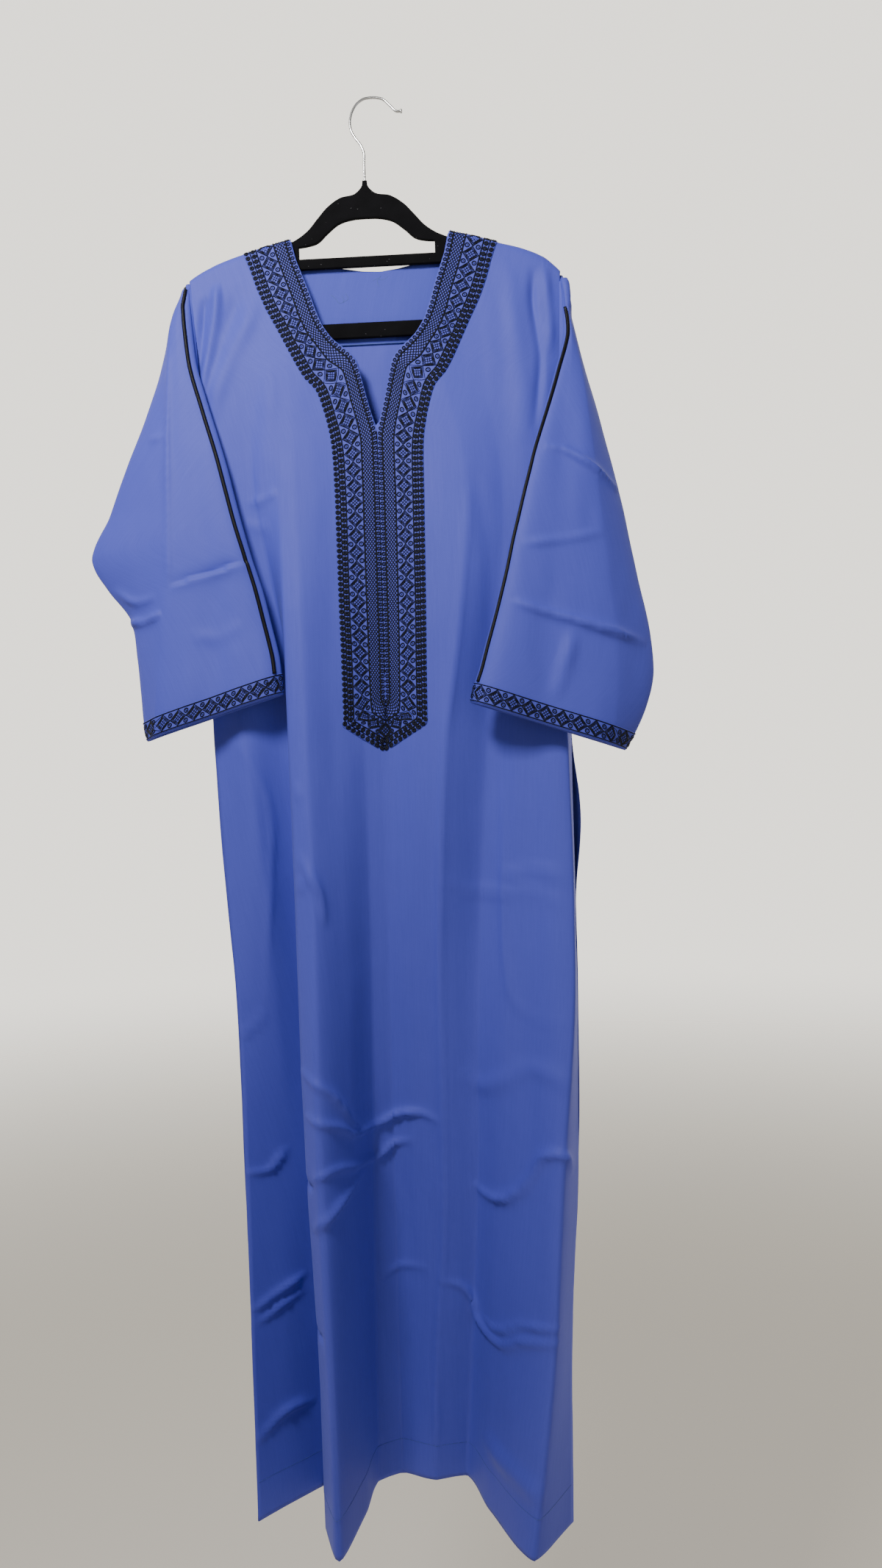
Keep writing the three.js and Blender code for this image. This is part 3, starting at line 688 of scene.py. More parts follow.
@dataclass(frozen=True)
class Fabric:
    """Woven cloth.

    Attributes:
        name: The material's name.
        lit: Colour of the raised threads: painted light on top of their own tone.
        deep: Colour of the lower ones: painted shade between the raised threads.
        roughness: How matt it is.
        sheen: Strength of the bloom at grazing angles.
        slub: Contrast of the uneven threads.
        bump: Strength of the relief.
    """

    name: str
    lit: tuple[float, float, float]
    deep: tuple[float, float, float]
    roughness: float = 0.62
    sheen: float = 0.08
    slub: float = 1.0
    bump: float = 0.35

    def make(self, weave: bpy.types.NodeTree) -> bpy.types.Material:
        """Builds the material.

        Args:
            weave: The weave group.

        Returns:
            The material.
        """
        material, n, shader = open_material(self.name)
        place = n.add("Attribute", attribute_name="flat").outputs["Vector"]
        woven = n.add("Group", {"Vector": place, "Slub": self.slub}, node_tree=weave)
        tone, height = woven.outputs["Tone"], woven.outputs["Height"]
        # lit and deep mixed by the slub tone: painted light and shade on the weave, plus slow random tone
        share = n.total((tone, 0.75), (n.noise(place, 7.0, 3.0), 0.25))
        n.wire(shader, {"Base Color": n.mix(share, self.deep, self.lit),
                        "Normal": n.bump(height, self.bump, 0.0002),
                        "Roughness": n.span(tone, self.roughness + 0.07, self.roughness - 0.07),
                        "Sheen Weight": self.sheen, "Sheen Roughness": 0.4,
                        "Sheen Tint": (0.45, 0.55, 1.0, 1.0), "Specular IOR Level": 0.22})
        return material


@dataclass(frozen=True)
class Thread:
    """Embroidery thread, sewing thread or cord.

    Attributes:
        name: The material's name.
        lit: Colour on top of a stitch: painted light where it stands high.
        deep: Colour between stitches: painted shade in the grooves.
        pitch: Distance between stitches.
        slant: How far they lean.
        roughness: How matt the thread is.
        sheen: Strength of the bloom at grazing angles.
    """

    name: str
    lit: tuple[float, float, float]
    deep: tuple[float, float, float]
    pitch: float = 0.5
    slant: float = 0.6
    roughness: float = 0.5
    sheen: float = 0.0

    def make(self, laid: bpy.types.NodeTree) -> bpy.types.Material:
        """Builds the material.

        Args:
            laid: The laid-thread group.

        Returns:
            The material.
        """
        material, n, shader = open_material(self.name)
        place = n.add("Attribute", attribute_name="flat").outputs["Vector"]
        stitched = n.add("Group", {"Vector": place, "Pitch": self.pitch * MM, "Slant": self.slant},
                         node_tree=laid)
        tone, height = stitched.outputs["Tone"], stitched.outputs["Height"]
        # darker where the stitch height is low: painted shade between stitches
        n.wire(shader, {"Base Color": n.mix(tone, self.deep, self.lit),
                        "Normal": n.bump(height, 0.5, 0.00015),
                        "Roughness": n.span(tone, self.roughness + 0.1, self.roughness - 0.1),
                        "Sheen Weight": self.sheen, "Specular IOR Level": 0.2})
        return material


@dataclass(frozen=True)
class Flock:
    """Matt black flocking over a moulded body, with a little lint."""

    name: str = "Black flock"
    base: tuple[float, float, float] = (0.0035, 0.0035, 0.0042)
    raised: tuple[float, float, float] = (0.012, 0.012, 0.014)
    lint: tuple[float, float, float] = (0.11, 0.11, 0.12)

    def make(self) -> bpy.types.Material:
        """Builds the material.

        Returns:
            The material.
        """
        material, n, shader = open_material(self.name)
        place = n.add("TexCoord").outputs["Object"]
        pile, patch = n.noise(place, 2600.0, 3.0), n.noise(place, 60.0, 3.0)
        # lighter where the pile's bump stands higher: painted light on the raised fibres, spread in random
        # patches
        colour = n.mix(n.maths("MULTIPLY", pile, patch), self.base, self.raised)
        stretched = n.add("Mapping", {"Vector": place, "Scale": (420.0, 420.0, 900.0)})
        specks = n.add("TexVoronoi", {"Vector": stretched.outputs[0], "Scale": 1.0})
        picked = n.add("SeparateColor", {0: specks.outputs["Color"]}).outputs[0]
        speck = n.maths("MULTIPLY", n.maths("LESS_THAN", specks.outputs["Distance"], 0.22),
                        n.maths("GREATER_THAN", picked, 0.985))
        n.wire(shader, {"Base Color": n.mix(speck, colour, self.lint), "Roughness": n.span(patch, 0.88, 1.0),
                        "Normal": n.bump(pile, 0.6, 0.0003), "Specular IOR Level": 0.05,
                        "Sheen Weight": 0.03})
        return material


@dataclass(frozen=True)
class Plate:
    """Bright plated steel with fine wear."""

    name: str = "Bright plate"
    base: tuple[float, float, float] = (0.72, 0.73, 0.75)

    def make(self) -> bpy.types.Material:
        """Builds the material.

        Returns:
            The material.
        """
        material, n, shader = open_material(self.name)
        smear = n.noise(n.add("TexCoord").outputs["Object"], 160.0, 4.0)
        darker = tuple(0.8 * c for c in self.base)
        n.wire(shader, {"Base Color": n.mix(smear, self.base, darker), "Roughness": n.span(smear, 0.12, 0.3),
                        "Metallic": 1.0})
        return material


@dataclass(frozen=True)
class Wardrobe:
    """Every material of the thobe and its hanger."""

    cloth: bpy.types.Material
    facing: bpy.types.Material
    thread: bpy.types.Material
    sewing: bpy.types.Material
    cord: bpy.types.Material
    flock: bpy.types.Material
    plate: bpy.types.Material

    @classmethod
    def make(cls) -> "Wardrobe":
        """Builds the materials.

        Returns:
            The set.
        """
        weave, laid = weave_group(), thread_group()
        # the second colour of each cloth and thread is painted shade for its lower threads and stitch grooves
        return cls(
            cloth=Fabric("Blue cloth", (0.092, 0.108, 0.585), (0.054, 0.064, 0.415)).make(weave),
            facing=Fabric("Blue cloth, wrong side", (0.082, 0.10, 0.56), (0.048, 0.06, 0.39),
                          roughness=0.7, sheen=0.05).make(weave),
            thread=Thread("Navy embroidery thread", (0.006, 0.008, 0.026),
                          (0.0012, 0.0015, 0.005)).make(laid),
            sewing=Thread("Blue sewing thread", (0.11, 0.16, 0.5), (0.06, 0.09, 0.3), pitch=0.4).make(laid),
            cord=Thread("Black cord", (0.008, 0.008, 0.01), (0.002, 0.002, 0.003), pitch=1.6, slant=1.2,
                        roughness=0.42).make(laid),
            flock=Flock().make(),
            plate=Plate().make(),
        )


# ---- Body panels ----

HEM = -1538.0
HEM_HALF = 165.0
BACK_DROP = 12.0  # how much lower the middle of the back hangs
SEAM_GAP = 0.3  # between front and back at the side seams
SEAM_LAP = 2.4  # how far a sleeve's seam edges stand in towards the body
SHOULDER_ROUND = 4.5
SHOULDER_LEVEL = -170.0
UNDERARM, ARMHOLE_TOP = -470.0, -280.0
POCKET = (-712.0, -900.0)
OUTER, INNER = 1.2, 0.4  # faces of the cloth, from the inner face of its solid
BAND_TOP, BAND_POINT = -150, -729  # heights at which CENTRE_LINE starts and ends
CENTRE_FOLD, LAST_FOLD = 7, 12  # numbers of the front's folds
BACK_NECK_ENDS = (-92, 85)
MAP_STEP = (1.5, 2.0)  # distances in the map of the front's depth, across and down

SHOULDER_LINE = ((-214, -198), (-208, -193.5), (-187, -182), (-143, -166.5), (-93, -154), (-4, -149),
                 (84, -154), (136, -168), (170, -179), (192, -190.5), (206, -205), (212, -214))
CENTRE_LINE = ((-150, -4.5), (-300, -2.5), (-450, -0.8), (-600, -0.8), (-690, -1.2), (-729, -4.5))
NECK_HALF = ((-150, 89), (-190, 79.5), (-230, 67.5), (-254, 57), (-271, 44), (-284, 29), (-293, 21),
             (-317, 15.8), (-334, 11.5), (-357, 5), (-369, 1.2))
BACK_NECK = ((-92, -150), (-84, -180), (-76, -184.5), (-43, -184), (-16, -189), (6, -190.5),
             (26, -188), (44, -184), (70, -184.5), (78, -180), (85, -150))
FACING_DEPTH = -271.5

# Folds of the front at each height, as (x, y): side, crease, valley, ridge, crest, flank and dip on the
# wearer's right, the centre, then crease, dip, flank, ridge and side on the left.
FRONT_FOLDS = (
    (-150, ((-209, -4.5), (-186, -4.5), (-150, -4.5), (-121, -4.5), (-101, -4.5), (-70, -4.5),
            (-34, -4.5), (-3, -4.5), (60, -4.5), (112, -4.5), (146, -4.5), (186, -4.5), (205, -4.5))),
    (-215, ((-206, -7), (-185, -8), (-149, -9), (-120, -9), (-100, -9), (-69, -8), (-33, -8), (-3, -8),
            (64, -9), (114, -8), (148, -9), (186, -8), (205, -6))),
    (-320, ((-199, -12), (-182, -15), (-145, -15), (-117, -18), (-97, -18), (-66, -15), (-31, -14),
            (-3, -14), (74, -17), (119, -14), (151, -16), (186, -14), (203, -10))),
    (-440, ((-198, -16), (-180, -20), (-138, -18), (-112, -27), (-93, -29), (-62, -25), (-29, -21),
            (-3, -21), (97, -29), (133, -22), (160, -23), (187, -22), (201, -14))),
    (-600, ((-196, -18), (-174, -24), (-111, -20), (-106, -46), (-88, -49), (-57, -38), (-28, -29),
            (-4, -28), (82, -38), (122, -26), (155, -30), (189, -34), (200, -16))),
    (-720, ((-192, -22), (-157, -34), (-108, -20), (-103.5, -54), (-85, -60), (-55, -44), (-27, -31),
            (-5, -29), (64, -39), (108, -24), (147, -34), (193, -46), (199, -24))),
    (-850, ((-185, -28), (-141, -37), (-109, -15), (-98, -66), (-81, -74), (-52, -52), (-26, -30),
            (-7, -26), (55, -37), (98, -20), (137, -35), (194, -56), (198, -28))),
    (-1000, ((-173, -38), (-133, -28), (-106, -8), (-96, -80), (-79, -92), (-51, -58), (-28, -24),
             (-9, -17), (48, -31), (89, -22), (122, -41), (190, -74), (196, -36))),
    (-1170, ((-168, -50), (-124, -18), (-104, -4), (-91, -98), (-77, -112), (-51, -66), (-33, -16),
             (-11, -4), (45, -22), (84, -18), (108, -42), (171, -100), (190, -50))),
    (-1350, ((-163, -66), (-130, -34), (-101, -5), (-84, -104), (-71, -128), (-50, -64), (-38, -8),
             (-13, 6), (37, -13), (72, -8), (94, -44), (155, -124), (176, -66))),
    (-1550, ((-160, -78), (-130, -45), (-99, -12), (-86, -88), (-66, -142), (-48, -62), (-41, -6),
             (-14, 12), (24, -5), (58, 5), (83, -60), (126, -143), (170, -80))),
)
# Folds of the back, from the wearer's left to right, without its side edges.
BACK_FOLDS = (
    (-150, ((192, 4.5), (166, 4.5), (132, 4.5), (80, 4.5), (-3, 4.5), (-86, 4.5), (-134, 4.5),
            (-168, 4.5), (-196, 4.5))),
    (-320, ((191, 7), (166, 8), (130, 8), (76, 7), (-3, 7), (-80, 7), (-128, 8), (-166, 8), (-190, 7))),
    (-470, ((194, -4), (170, 9), (128, 7), (72, 11), (-3, 12), (-74, 11), (-122, 7), (-166, 9),
            (-191, -4))),
    (-720, ((192, 4), (168, 17), (126, 4), (74, 17), (-3, 19), (-62, 17), (-96, 0), (-152, 17),
            (-180, 2))),
    (-1000, ((190, -2), (166, 20), (126, -8), (80, 20), (-3, 23), (-48, 20), (-84, -14), (-130, 20),
             (-163, -2))),
    (-1300, ((176, -16), (154, 22), (122, -26), (86, 22), (-3, 27), (-44, 22), (-75, -34), (-112, 21),
             (-155, -10))),
    (-1550, ((166, -26), (146, 22), (118, -42), (86, 22), (-3, 29), (-44, 23), (-71, -50), (-106, 21),
             (-150, -14))),
)
# Thread ends left on the facing, as (x, z).
KNOTTED_ENDS = (
    ((4, -201), (9, -198), (13, -200), (19, -201.5)), ((8, -206), (11, -200), (12, -195), (10, -190)),
    ((12, -199), (16, -203), (17, -208)), ((11, -204), (15, -207), (19, -206), (16, -209)),
    ((13, -196), (20, -194), (25, -195)), ((9, -199), (3, -194), (5, -190)),
)
# Loose threads on the facing, as (x, z).
LOOSE_LOOPS = (
    ((-50, -214), (-45, -219), (-41, -224), (-36, -221), (-38, -215)),
    ((-34, -212), (-31, -218), (-37, -223)),
    ((-3, -196), (2, -193), (8, -195), (14, -192)), ((6, -190), (2, -196), (4, -203)),
)


def column(table: Sequence[Pair], at: Array, softness: float = 1.0) -> Array:
    """Reads a table of (place, value) pairs.

    Args:
        table: The pairs.
        at: Places to read.
        softness: How far the line rounds its corners.

    Returns:
        One value for each place.
    """
    places, values = zip(*table)
    return read_table(places, np.asarray(values, float)[:, None], np.ravel(at), softness)[:, 0]


def at_heights(line: Array, z: Array) -> Array:
    """Points of a falling line at given heights.

    Args:
        line: Its points, (N, 3).
        z: Heights, (M,).

    Returns:
        Points, (M, 3).
    """
    x, y = (np.interp(-z, -line[:, 2], line[:, k]) for k in range(2))
    return np.stack([x, y, z], 1)


def neck_columns(grid: Array) -> Array:
    """Columns of the back's grid that end at the neckline.

    Args:
        grid: The grid, (R, C, 3).

    Returns:
        Their numbers.
    """
    x = grid[0, :, 0]
    return np.nonzero((x > BACK_NECK_ENDS[0]) & (x < BACK_NECK_ENDS[1]))[0]


def fold_corners(table: Sequence, z: Array) -> Array:
    """Corner points of a panel's sections.

    Args:
        table: Folds at each height.
        z: Heights, (N,).

    Returns:
        Points, (N, folds, 3).
    """
    heights = [row[0] for row in table]
    flat = np.array([row[1] for row in table], float).reshape(len(table), -1)
    plan = read_table(heights, flat, z).reshape(len(z), -1, 2)
    level = np.broadcast_to(z[:, None, None], (*plan.shape[:2], 1))
    return np.concatenate([plan, level], axis=2)


def front_corners(z: Array) -> Array:
    """Corner points of the front's sections, (N, 13, 3).

    Args:
        z: Heights, (N,).

    Returns:
        The points.
    """
    return fold_corners(FRONT_FOLDS, z)


def back_corners(z: Array) -> Array:
    """Corner points of the back's sections, whose side edges follow the front's.

    Args:
        z: Heights, (N,).

    Returns:
        Points, (N, 11, 3), from the wearer's left to right.
    """
    front = front_corners(z)
    share = np.clip((z - POCKET[0]) / (POCKET[1] - POCKET[0]), 0, 1)
    bump = np.sin(np.pi * share) ** 2
    armhole = ramp(UNDERARM, ARMHOLE_TOP, z)
    sides = []
    for edge, outwards, gap in ((front[:, -1], 1, (9, 16)), (front[:, 0], -1, (5, 18))):
        low = edge[:, 1] + SEAM_GAP + gap[1] * bump
        high = np.minimum(SHOULDER_ROUND, -edge[:, 1])
        x = edge[:, 0] + outwards * (gap[0] * bump + SEAM_GAP / 2)
        sides.append(np.stack([x, low + (high - low) * armhole, z], 1)[:, None])
    return np.concatenate([sides[0], fold_corners(BACK_FOLDS, z), sides[1]], axis=1)


@dataclass
class Panel:
    """A body panel: it runs over the shoulder in a quarter round and falls to the hem.

    Attributes:
        corners: Corner points of its section at given heights.
        softness: How far the section rounds its corners.
        drop: How much lower its middle hangs.
        rows: Number of rows of points.
        curl: Rows of the quarter round.
        density: How close the rows stand, as (share of the way down, weight).
    """

    corners: Callable[[Array], Array]
    softness: float = 0.42
    drop: float = 0.0
    rows: int = 318
    curl: int = 5
    density: tuple[Pair, ...] = ((0, 1.2), (0.19, 1.2), (0.23, 0.6), (0.62, 0.6), (0.66, 1.6), (0.92, 1.6),
                                 (0.94, 1.0), (1, 1.0))

    def at(self, place: Array, z: Array) -> Array:
        """Points of the inner face.

        Args:
            place: Fold number with its fraction, (N,).
            z: Heights, (N,).

        Returns:
            Points, (N, 3).
        """
        return read_corners(self.corners(z), place, self.softness)

    def section(self, places: Array, heights: Array) -> Array:
        """Points of the inner face at all given folds, on each of the given heights.

        Args:
            places: Fold numbers with their fractions, (C,).
            heights: Heights, (R,).

        Returns:
            Points, (R, C, 3).
        """
        points = self.at(np.tile(places, len(heights)), np.repeat(heights, len(places)))
        return points.reshape(len(heights), len(places), 3)

    def falls(self) -> Array:
        """Heights of the rows, as shares of the way from the shoulder to the hem.

        Returns:
            Rising shares.
        """
        levels = np.linspace(0, 1, 401)
        weight = np.interp(levels, *zip(*self.density))
        way = np.concatenate([[0], np.cumsum((weight[1:] + weight[:-1]) / 2)])
        return np.interp(np.linspace(0, way[-1], self.rows - self.curl), way, levels)

    def grid(self, place_at: Callable[[Array, Array], Array], columns: int) -> Array:
        """Grid of points of the inner face.

        Args:
            place_at: Gives the fold number from the column's share (0 to 1) and the height.
            columns: Number of columns.

        Returns:
            Points, (rows, columns, 3).
        """
        share = np.linspace(0, 1, columns)
        high = np.full(columns, SHOULDER_LEVEL)
        x = self.at(place_at(share, high), high)[:, 0]
        top = column(SHOULDER_LINE, x)
        level = self.at(place_at(share, top), top)
        side, bend = np.sign(level[:, 1]), np.abs(level[:, 1])
        hem = HEM - self.drop * np.maximum(1 - (level[:, 0] / HEM_HALF) ** 2, 0)
        lines = []
        for turn in np.linspace(0.03, 1, self.curl, endpoint=False) * math.pi / 2:
            lines.append(np.stack([level[:, 0], side * bend * math.sin(turn),
                                   top - bend * (1 - math.cos(turn))], 1))
        for fall in self.falls():
            z = top - bend + (hem - top + bend) * fall
            lines.append(self.at(place_at(share, z), z))
        return np.array(lines)


def spread(weights: Sequence[float], start: float, end: float, share: Array) -> Array:
    """Fold number at a share of the way along a section.

    Args:
        weights: Length of each stretch between folds.
        start: Fold number at share 0.
        end: Fold number at share 1.
        share: Shares of the way.

    Returns:
        Fold numbers.
    """
    way = np.concatenate([[0], np.cumsum(weights)]) / sum(weights)
    return np.interp(share, way, np.linspace(start, end, len(way)))


FRONT_CREASES = (
    # soft folds that hang from the shoulders
    Crease(((-176, -200), (-178, -234), (-184, -268), (-192, -306), (-197, -340)), 4, 4.6,
           Profile.ROLL, (0.1, 0.3)),
    Crease(((-190, -215), (-193, -245), (-196, -275), (-201, -310)), -3.6, 5, Profile.ROLL, (0.1, 0.3)),
    Crease(((-132, -215), (-145, -253), (-160, -281), (-175, -317), (-184, -355)), 2.6, 9, Profile.ROLL),
    Crease(((-152, -205), (-160, -235), (-172, -265), (-183, -300)), -2.2, 9, Profile.ROLL),
    Crease(((-118, -290), (-124, -360), (-133, -430), (-140, -500)), 1.6, 11, Profile.ROLL),
    Crease(((176, -200), (174, -240), (177, -270), (180, -301), (177, -335), (170, -385)), -3.6, 5,
           Profile.ROLL, (0.15, 0.4)),
    Crease(((188, -196), (190, -230), (192, -262), (190, -300)), 2.6, 5, Profile.ROLL),
    Crease(((150, -190), (152, -250), (160, -320), (158, -400)), 1.8, 10, Profile.ROLL),
    Crease(((100, -420), (112, -480), (118, -560), (112, -640)), -1.6, 10, Profile.ROLL),
    Crease(((-146, -452), (-128, -447), (-112, -440)), 3.1, 4.4),
    Crease(((-150, -470), (-136, -478), (-120, -476)), 2.2, 4.4),
    # pressed line down the middle of the front
    Crease(((98, -443), (88, -539), (78, -619), (65, -706), (53, -864), (49, -952), (47, -1114), (42, -1278),
            (34, -1344), (27, -1453), (25, -1530)), 3.2, 4.2, Profile.PINCH, (0.05, 0.05)),
    # fan of creases in the skirt, from the right ridge across the middle
    Crease(((-98, -1059), (-73, -1079), (-47, -1128), (-38, -1140)), 6.4, 4),
    Crease(((-93, -1104), (-65, -1119), (-45, -1138), (-26, -1137), (-4, -1129), (22, -1127), (44, -1137)),
           7.6, 4),
    Crease(((-87, -1172), (-71, -1162), (-45, -1171), (-28, -1174), (-14, -1164), (15, -1157)), 6.4, 4),
    Crease(((-85, -1222), (-71, -1206), (-42, -1180)), 6.6, 4.7),
    Crease(((75, -1204), (91, -1213), (110, -1212), (127, -1198), (140, -1179), (156, -1155), (169, -1151),
            (183, -1177)), 7.6, 4.7),
    Crease(((68, -1075), (93, -1095), (114, -1086), (144, -1070), (186, -1084)), 2.4, 10.2, Profile.ROLL),
    Crease(((-168, -1177), (-147, -1181), (-127, -1158)), 5.8, 3.5),
    Crease(((53, -867), (75, -880), (113, -885), (162, -888), (189, -900)), 3.2, 4.1),
    Crease(((114, -868), (154, -863), (191, -870)), 3.6, 4.7),
    Crease(((36, -1313), (60, -1320), (73, -1337), (78, -1353), (86, -1360), (99, -1363), (127, -1345),
            (161, -1331)), 7, 4),
    Crease(((81, -1348), (94, -1351), (127, -1330), (162, -1317)), 5.8, 3.5),
    Crease(((80, -1469), (93, -1475), (110, -1475), (139, -1478)), 4.4, 10.2, Profile.ROLL),
    Crease(((-41, -1323), (-29, -1311), (-11, -1302), (26, -1300)), 3.2, 4.1),
    Crease(((-162, -1323), (-137, -1311), (-111, -1301)), 6.6, 4),
    Crease(((-160, -1339), (-136, -1327), (-113, -1318)), 4.7, 3.5),
    Crease(((-161, -1457), (-126, -1437), (-107, -1443)), 6.6, 4.7),
    # puckers along the edge of the right fold
    Crease(((-97, -834), (-84, -857), (-76, -873), (-70, -912)), 5.8, 4),
    Crease(((-101, -770), (-88, -774)), 3.8, 3.8),
    Crease(((-98, -866), (-86, -872)), 3.8, 3.8),
    Crease(((-98, -1175), (-84, -1180)), -5.8, 3.5),
    Crease(((-92, -1326), (-74, -1330)), -5.8, 3.5),
    # pocket bags showing through
    Crease(((128, -769), (125, -787), (123, -830), (120, -900), (122, -970), (127, -999), (141, -1014),
            (167, -1020), (187, -1022)), 3, 3.5),
    Crease(((-185, -700), (-158, -725), (-136, -771), (-133, -865), (-140, -950), (-143, -1011)), 3, 3.5),
    Crease(((-170, -1035), (-157, -1023), (-143, -1011)), 3.2, 3.5),
)
BACK_CREASES = (
    Crease(((-90, -1060), (-40, -1090), (10, -1120), (60, -1118)), 5.3, 6.5),
    Crease(((-60, -1200), (-20, -1190), (40, -1214)), 4.2, 5.8),
    Crease(((70, -1010), (100, -1040), (150, -1048)), 4.2, 6.5),
    Crease(((-140, -860), (-90, -872), (-40, -866)), 2.9, 6.5),
    Crease(((20, -700), (60, -716), (120, -712)), 2.2, 9),
    Crease(((-150, -1330), (-110, -1316), (-60, -1322)), 4.8, 5.8),
    Crease(((30, -1368), (80, -1352), (140, -1356)), 4.8, 5.8),
    Crease(((-3, -300), (-5, -600), (-2, -900), (-4, -1200), (-3, -1500)), 2.4, 4.3,
           Profile.PINCH, (0.1, 0.05)),
    Crease(((-120, -470), (-150, -540), (-160, -620)), 2.2, 9),
    Crease(((120, -480), (148, -550), (158, -640)), 2.2, 9),
)


def front_relief(x: Array, z: Array) -> Array:
    """How far creases and soft swells move the front's cloth out.

    Args:
        x: Places of its points.
        z: Their heights.

    Returns:
        Millimetres.
    """
    calm = ramp(-300, -700, z)
    swell = soft_noise(x, z, (27, 330), 11) * (0.35 + 1.2 * calm)
    ripple = soft_noise(x, z, (15, 46), 12) * 0.3 + soft_noise(x + z * 0.4, z, (9, 21), 13) * 0.12
    bowed = 1.1 * np.sin(x / 9.0 + 2.3 * np.sin(z / 260.0)) * calm * 0.35
    return creased(FRONT_CREASES, x, z) + swell + ripple + bowed


def back_relief(x: Array, z: Array) -> Array:
    """How far creases and soft swells move the back's cloth out.

    Args:
        x: Places of its points.
        z: Their heights.

    Returns:
        Millimetres.
    """
    calm = ramp(-300, -700, z)
    swell = soft_noise(x, z, (30, 330), 21) * (0.35 + 1.2 * calm)
    ripple = soft_noise(x, z, (16, 50), 22) * 0.35 + soft_noise(x - z * 0.3, z, (9, 22), 23) * 0.12
    return creased(BACK_CREASES, x, z) + swell + ripple


@dataclass
class FrontPanel:
    """The front, cut to the neckline and the slit.

    Attributes:
        columns: Columns of points on the wearer's right and left of the slit.
        right_weights: Lengths between folds from the centre to the right side seam.
        left_weights: The same to the left one.
    """

    wardrobe: Wardrobe
    panel: Panel = field(default_factory=lambda: Panel(front_corners))
    columns: tuple[int, int] = (80, 73)
    right_weights: tuple[float, ...] = (26, 42, 48, 24, 75, 40, 38)
    left_weights: tuple[float, ...] = (70, 40, 42, 67, 40)
    slit_end: float = -369.0
    hem_depth: float = 39.0
    upper: tuple[Array, Array, Array] | None = None

    def neck_place(self, side: int) -> Callable[[Array], Array]:
        """Fold number of the neck edge, or of the centre below the slit, by height.

        Args:
            side: -1 for the wearer's right and 1 for the left.

        Returns:
            A function from heights to fold numbers.
        """
        levels = np.linspace(-140, -780, 161)
        half = np.where(levels > self.slit_end, column(NECK_HALF, np.maximum(levels, self.slit_end)), 0.0)
        edge = column(CENTRE_LINE, np.maximum(levels, BAND_POINT), 0) + side * half
        steps = np.linspace(0, LAST_FOLD, 241)
        lines = self.panel.section(steps, levels)
        found = np.array([np.interp(e, line[:, 0], steps) for e, line in zip(edge, lines)])
        lower = ramp(-600, -760, levels)
        found = found * (1 - lower) + CENTRE_FOLD * lower
        return lambda z: np.interp(-z, -levels, found)

    def half_grid(self, side: int) -> Array:
        """Inner face of one half, with its columns from the centre outwards.

        Args:
            side: -1 for the wearer's right and 1 for the left.

        Returns:
            Points, (rows, columns, 3).
        """
        end, weights = (0, self.right_weights) if side < 0 else (LAST_FOLD, self.left_weights)
        neck = self.neck_place(side)

        def place_at(share: Array, z: Array) -> Array:
            """Fold number on the way from the neck edge to the side seam.

            Args:
                share: Shares of the way.
                z: Heights.

            Returns:
                Fold numbers.
            """
            edge = neck(z)
            way = (spread(weights, CENTRE_FOLD, end, share) - CENTRE_FOLD) / (end - CENTRE_FOLD)
            return edge + (end - edge) * way

        return self.panel.grid(place_at, self.columns[0 if side < 0 else 1])

    def sheet(self) -> Sheet:
        """The whole front before it gets its thickness.

        Returns:
            The sheet.
        """
        right, left = self.half_grid(-1)[:, ::-1], self.half_grid(1)
        rows, across_right, across_left = len(right), right.shape[1], left.shape[1]
        joined = right[:, -1, 2] < self.slit_end
        left[joined, 0] = right[joined, -1]
        left_faces = grid_faces(rows, across_left)
        start = rows * across_right
        renumber = np.arange(rows * across_left) + start
        weld = np.nonzero(joined)[0]
        renumber[weld * across_left] = weld * across_right + across_right - 1
        faces = np.concatenate([grid_faces(rows, across_right), renumber[left_faces]])
        points = np.concatenate([right.reshape(-1, 3), left.reshape(-1, 3)])
        flat_right = np.stack([-lengths_along(right[:, ::-1], 1)[:, ::-1], -lengths_along(right, 0)], 2)
        flat_left = np.stack([lengths_along(left, 1), -lengths_along(left, 0)], 2)
        flat = np.concatenate([flat_right.reshape(-1, 2), flat_left.reshape(-1, 2)])
        used, compact = np.unique(faces, return_inverse=True)
        sheet = Sheet(points[used], compact.reshape(-1, 4), flat[used])
        return sheet.moved(front_relief(sheet.points[:, 0], sheet.points[:, 2]))

    def raised(self, grid: Array, flip: bool = False) -> Array:
        """Outer face, with its creases, over a grid of points of the inner one.

        Args:
            grid: The points, (R, C, 3).
            flip: Turns its normals round.

        Returns:
            Points, (R, C, 3).
        """
        sheet = Sheet.over(grid, flip)
        out = front_relief(sheet.points[:, 0], sheet.points[:, 2]) + OUTER
        return sheet.moved(out).points.reshape(grid.shape)

    def relief_map(self) -> tuple[Array, Array, Array]:
        """Depth of the upper front's outer face on a grid.

        Returns:
            Places in x, heights, and the depth at each (height, place).
        """
        if self.upper is None:
            heights, steps = np.arange(-120, -748, -MAP_STEP[1]), np.linspace(0, LAST_FOLD, 301)
            across = np.arange(-170.0, 160.0, MAP_STEP[0])
            lines = self.raised(self.panel.section(steps, heights))
            depth = np.array([np.interp(across, line[:, 0], line[:, 1]) for line in lines])
            self.upper = across, heights, depth
        return self.upper

    def outer_face(self, x: Array, z: Array) -> Array:
        """Points of the outer face, as seen from the front.

        Args:
            x: Their places.
            z: Their heights.

        Returns:
            Points, (N, 3).
        """
        across, heights, depth = self.relief_map()
        y = bilinear(depth, (heights[0] - z) / MAP_STEP[1], (x - across[0]) / MAP_STEP[0])
        bend = SHOULDER_ROUND + OUTER
        down = np.clip((column(SHOULDER_LINE, x) + OUTER - z) / bend, 0, 1)
        return np.stack([x, y * np.sqrt(np.clip(1 - (1 - down) ** 2, 0, 1)), z], 1)

    def build(self) -> None:
        """Makes the piece."""
        piece = add_mesh("front_cloth", *self.sheet().shell(OUTER, INNER))
        dress(piece, self.wardrobe.cloth, ["front_panel"])

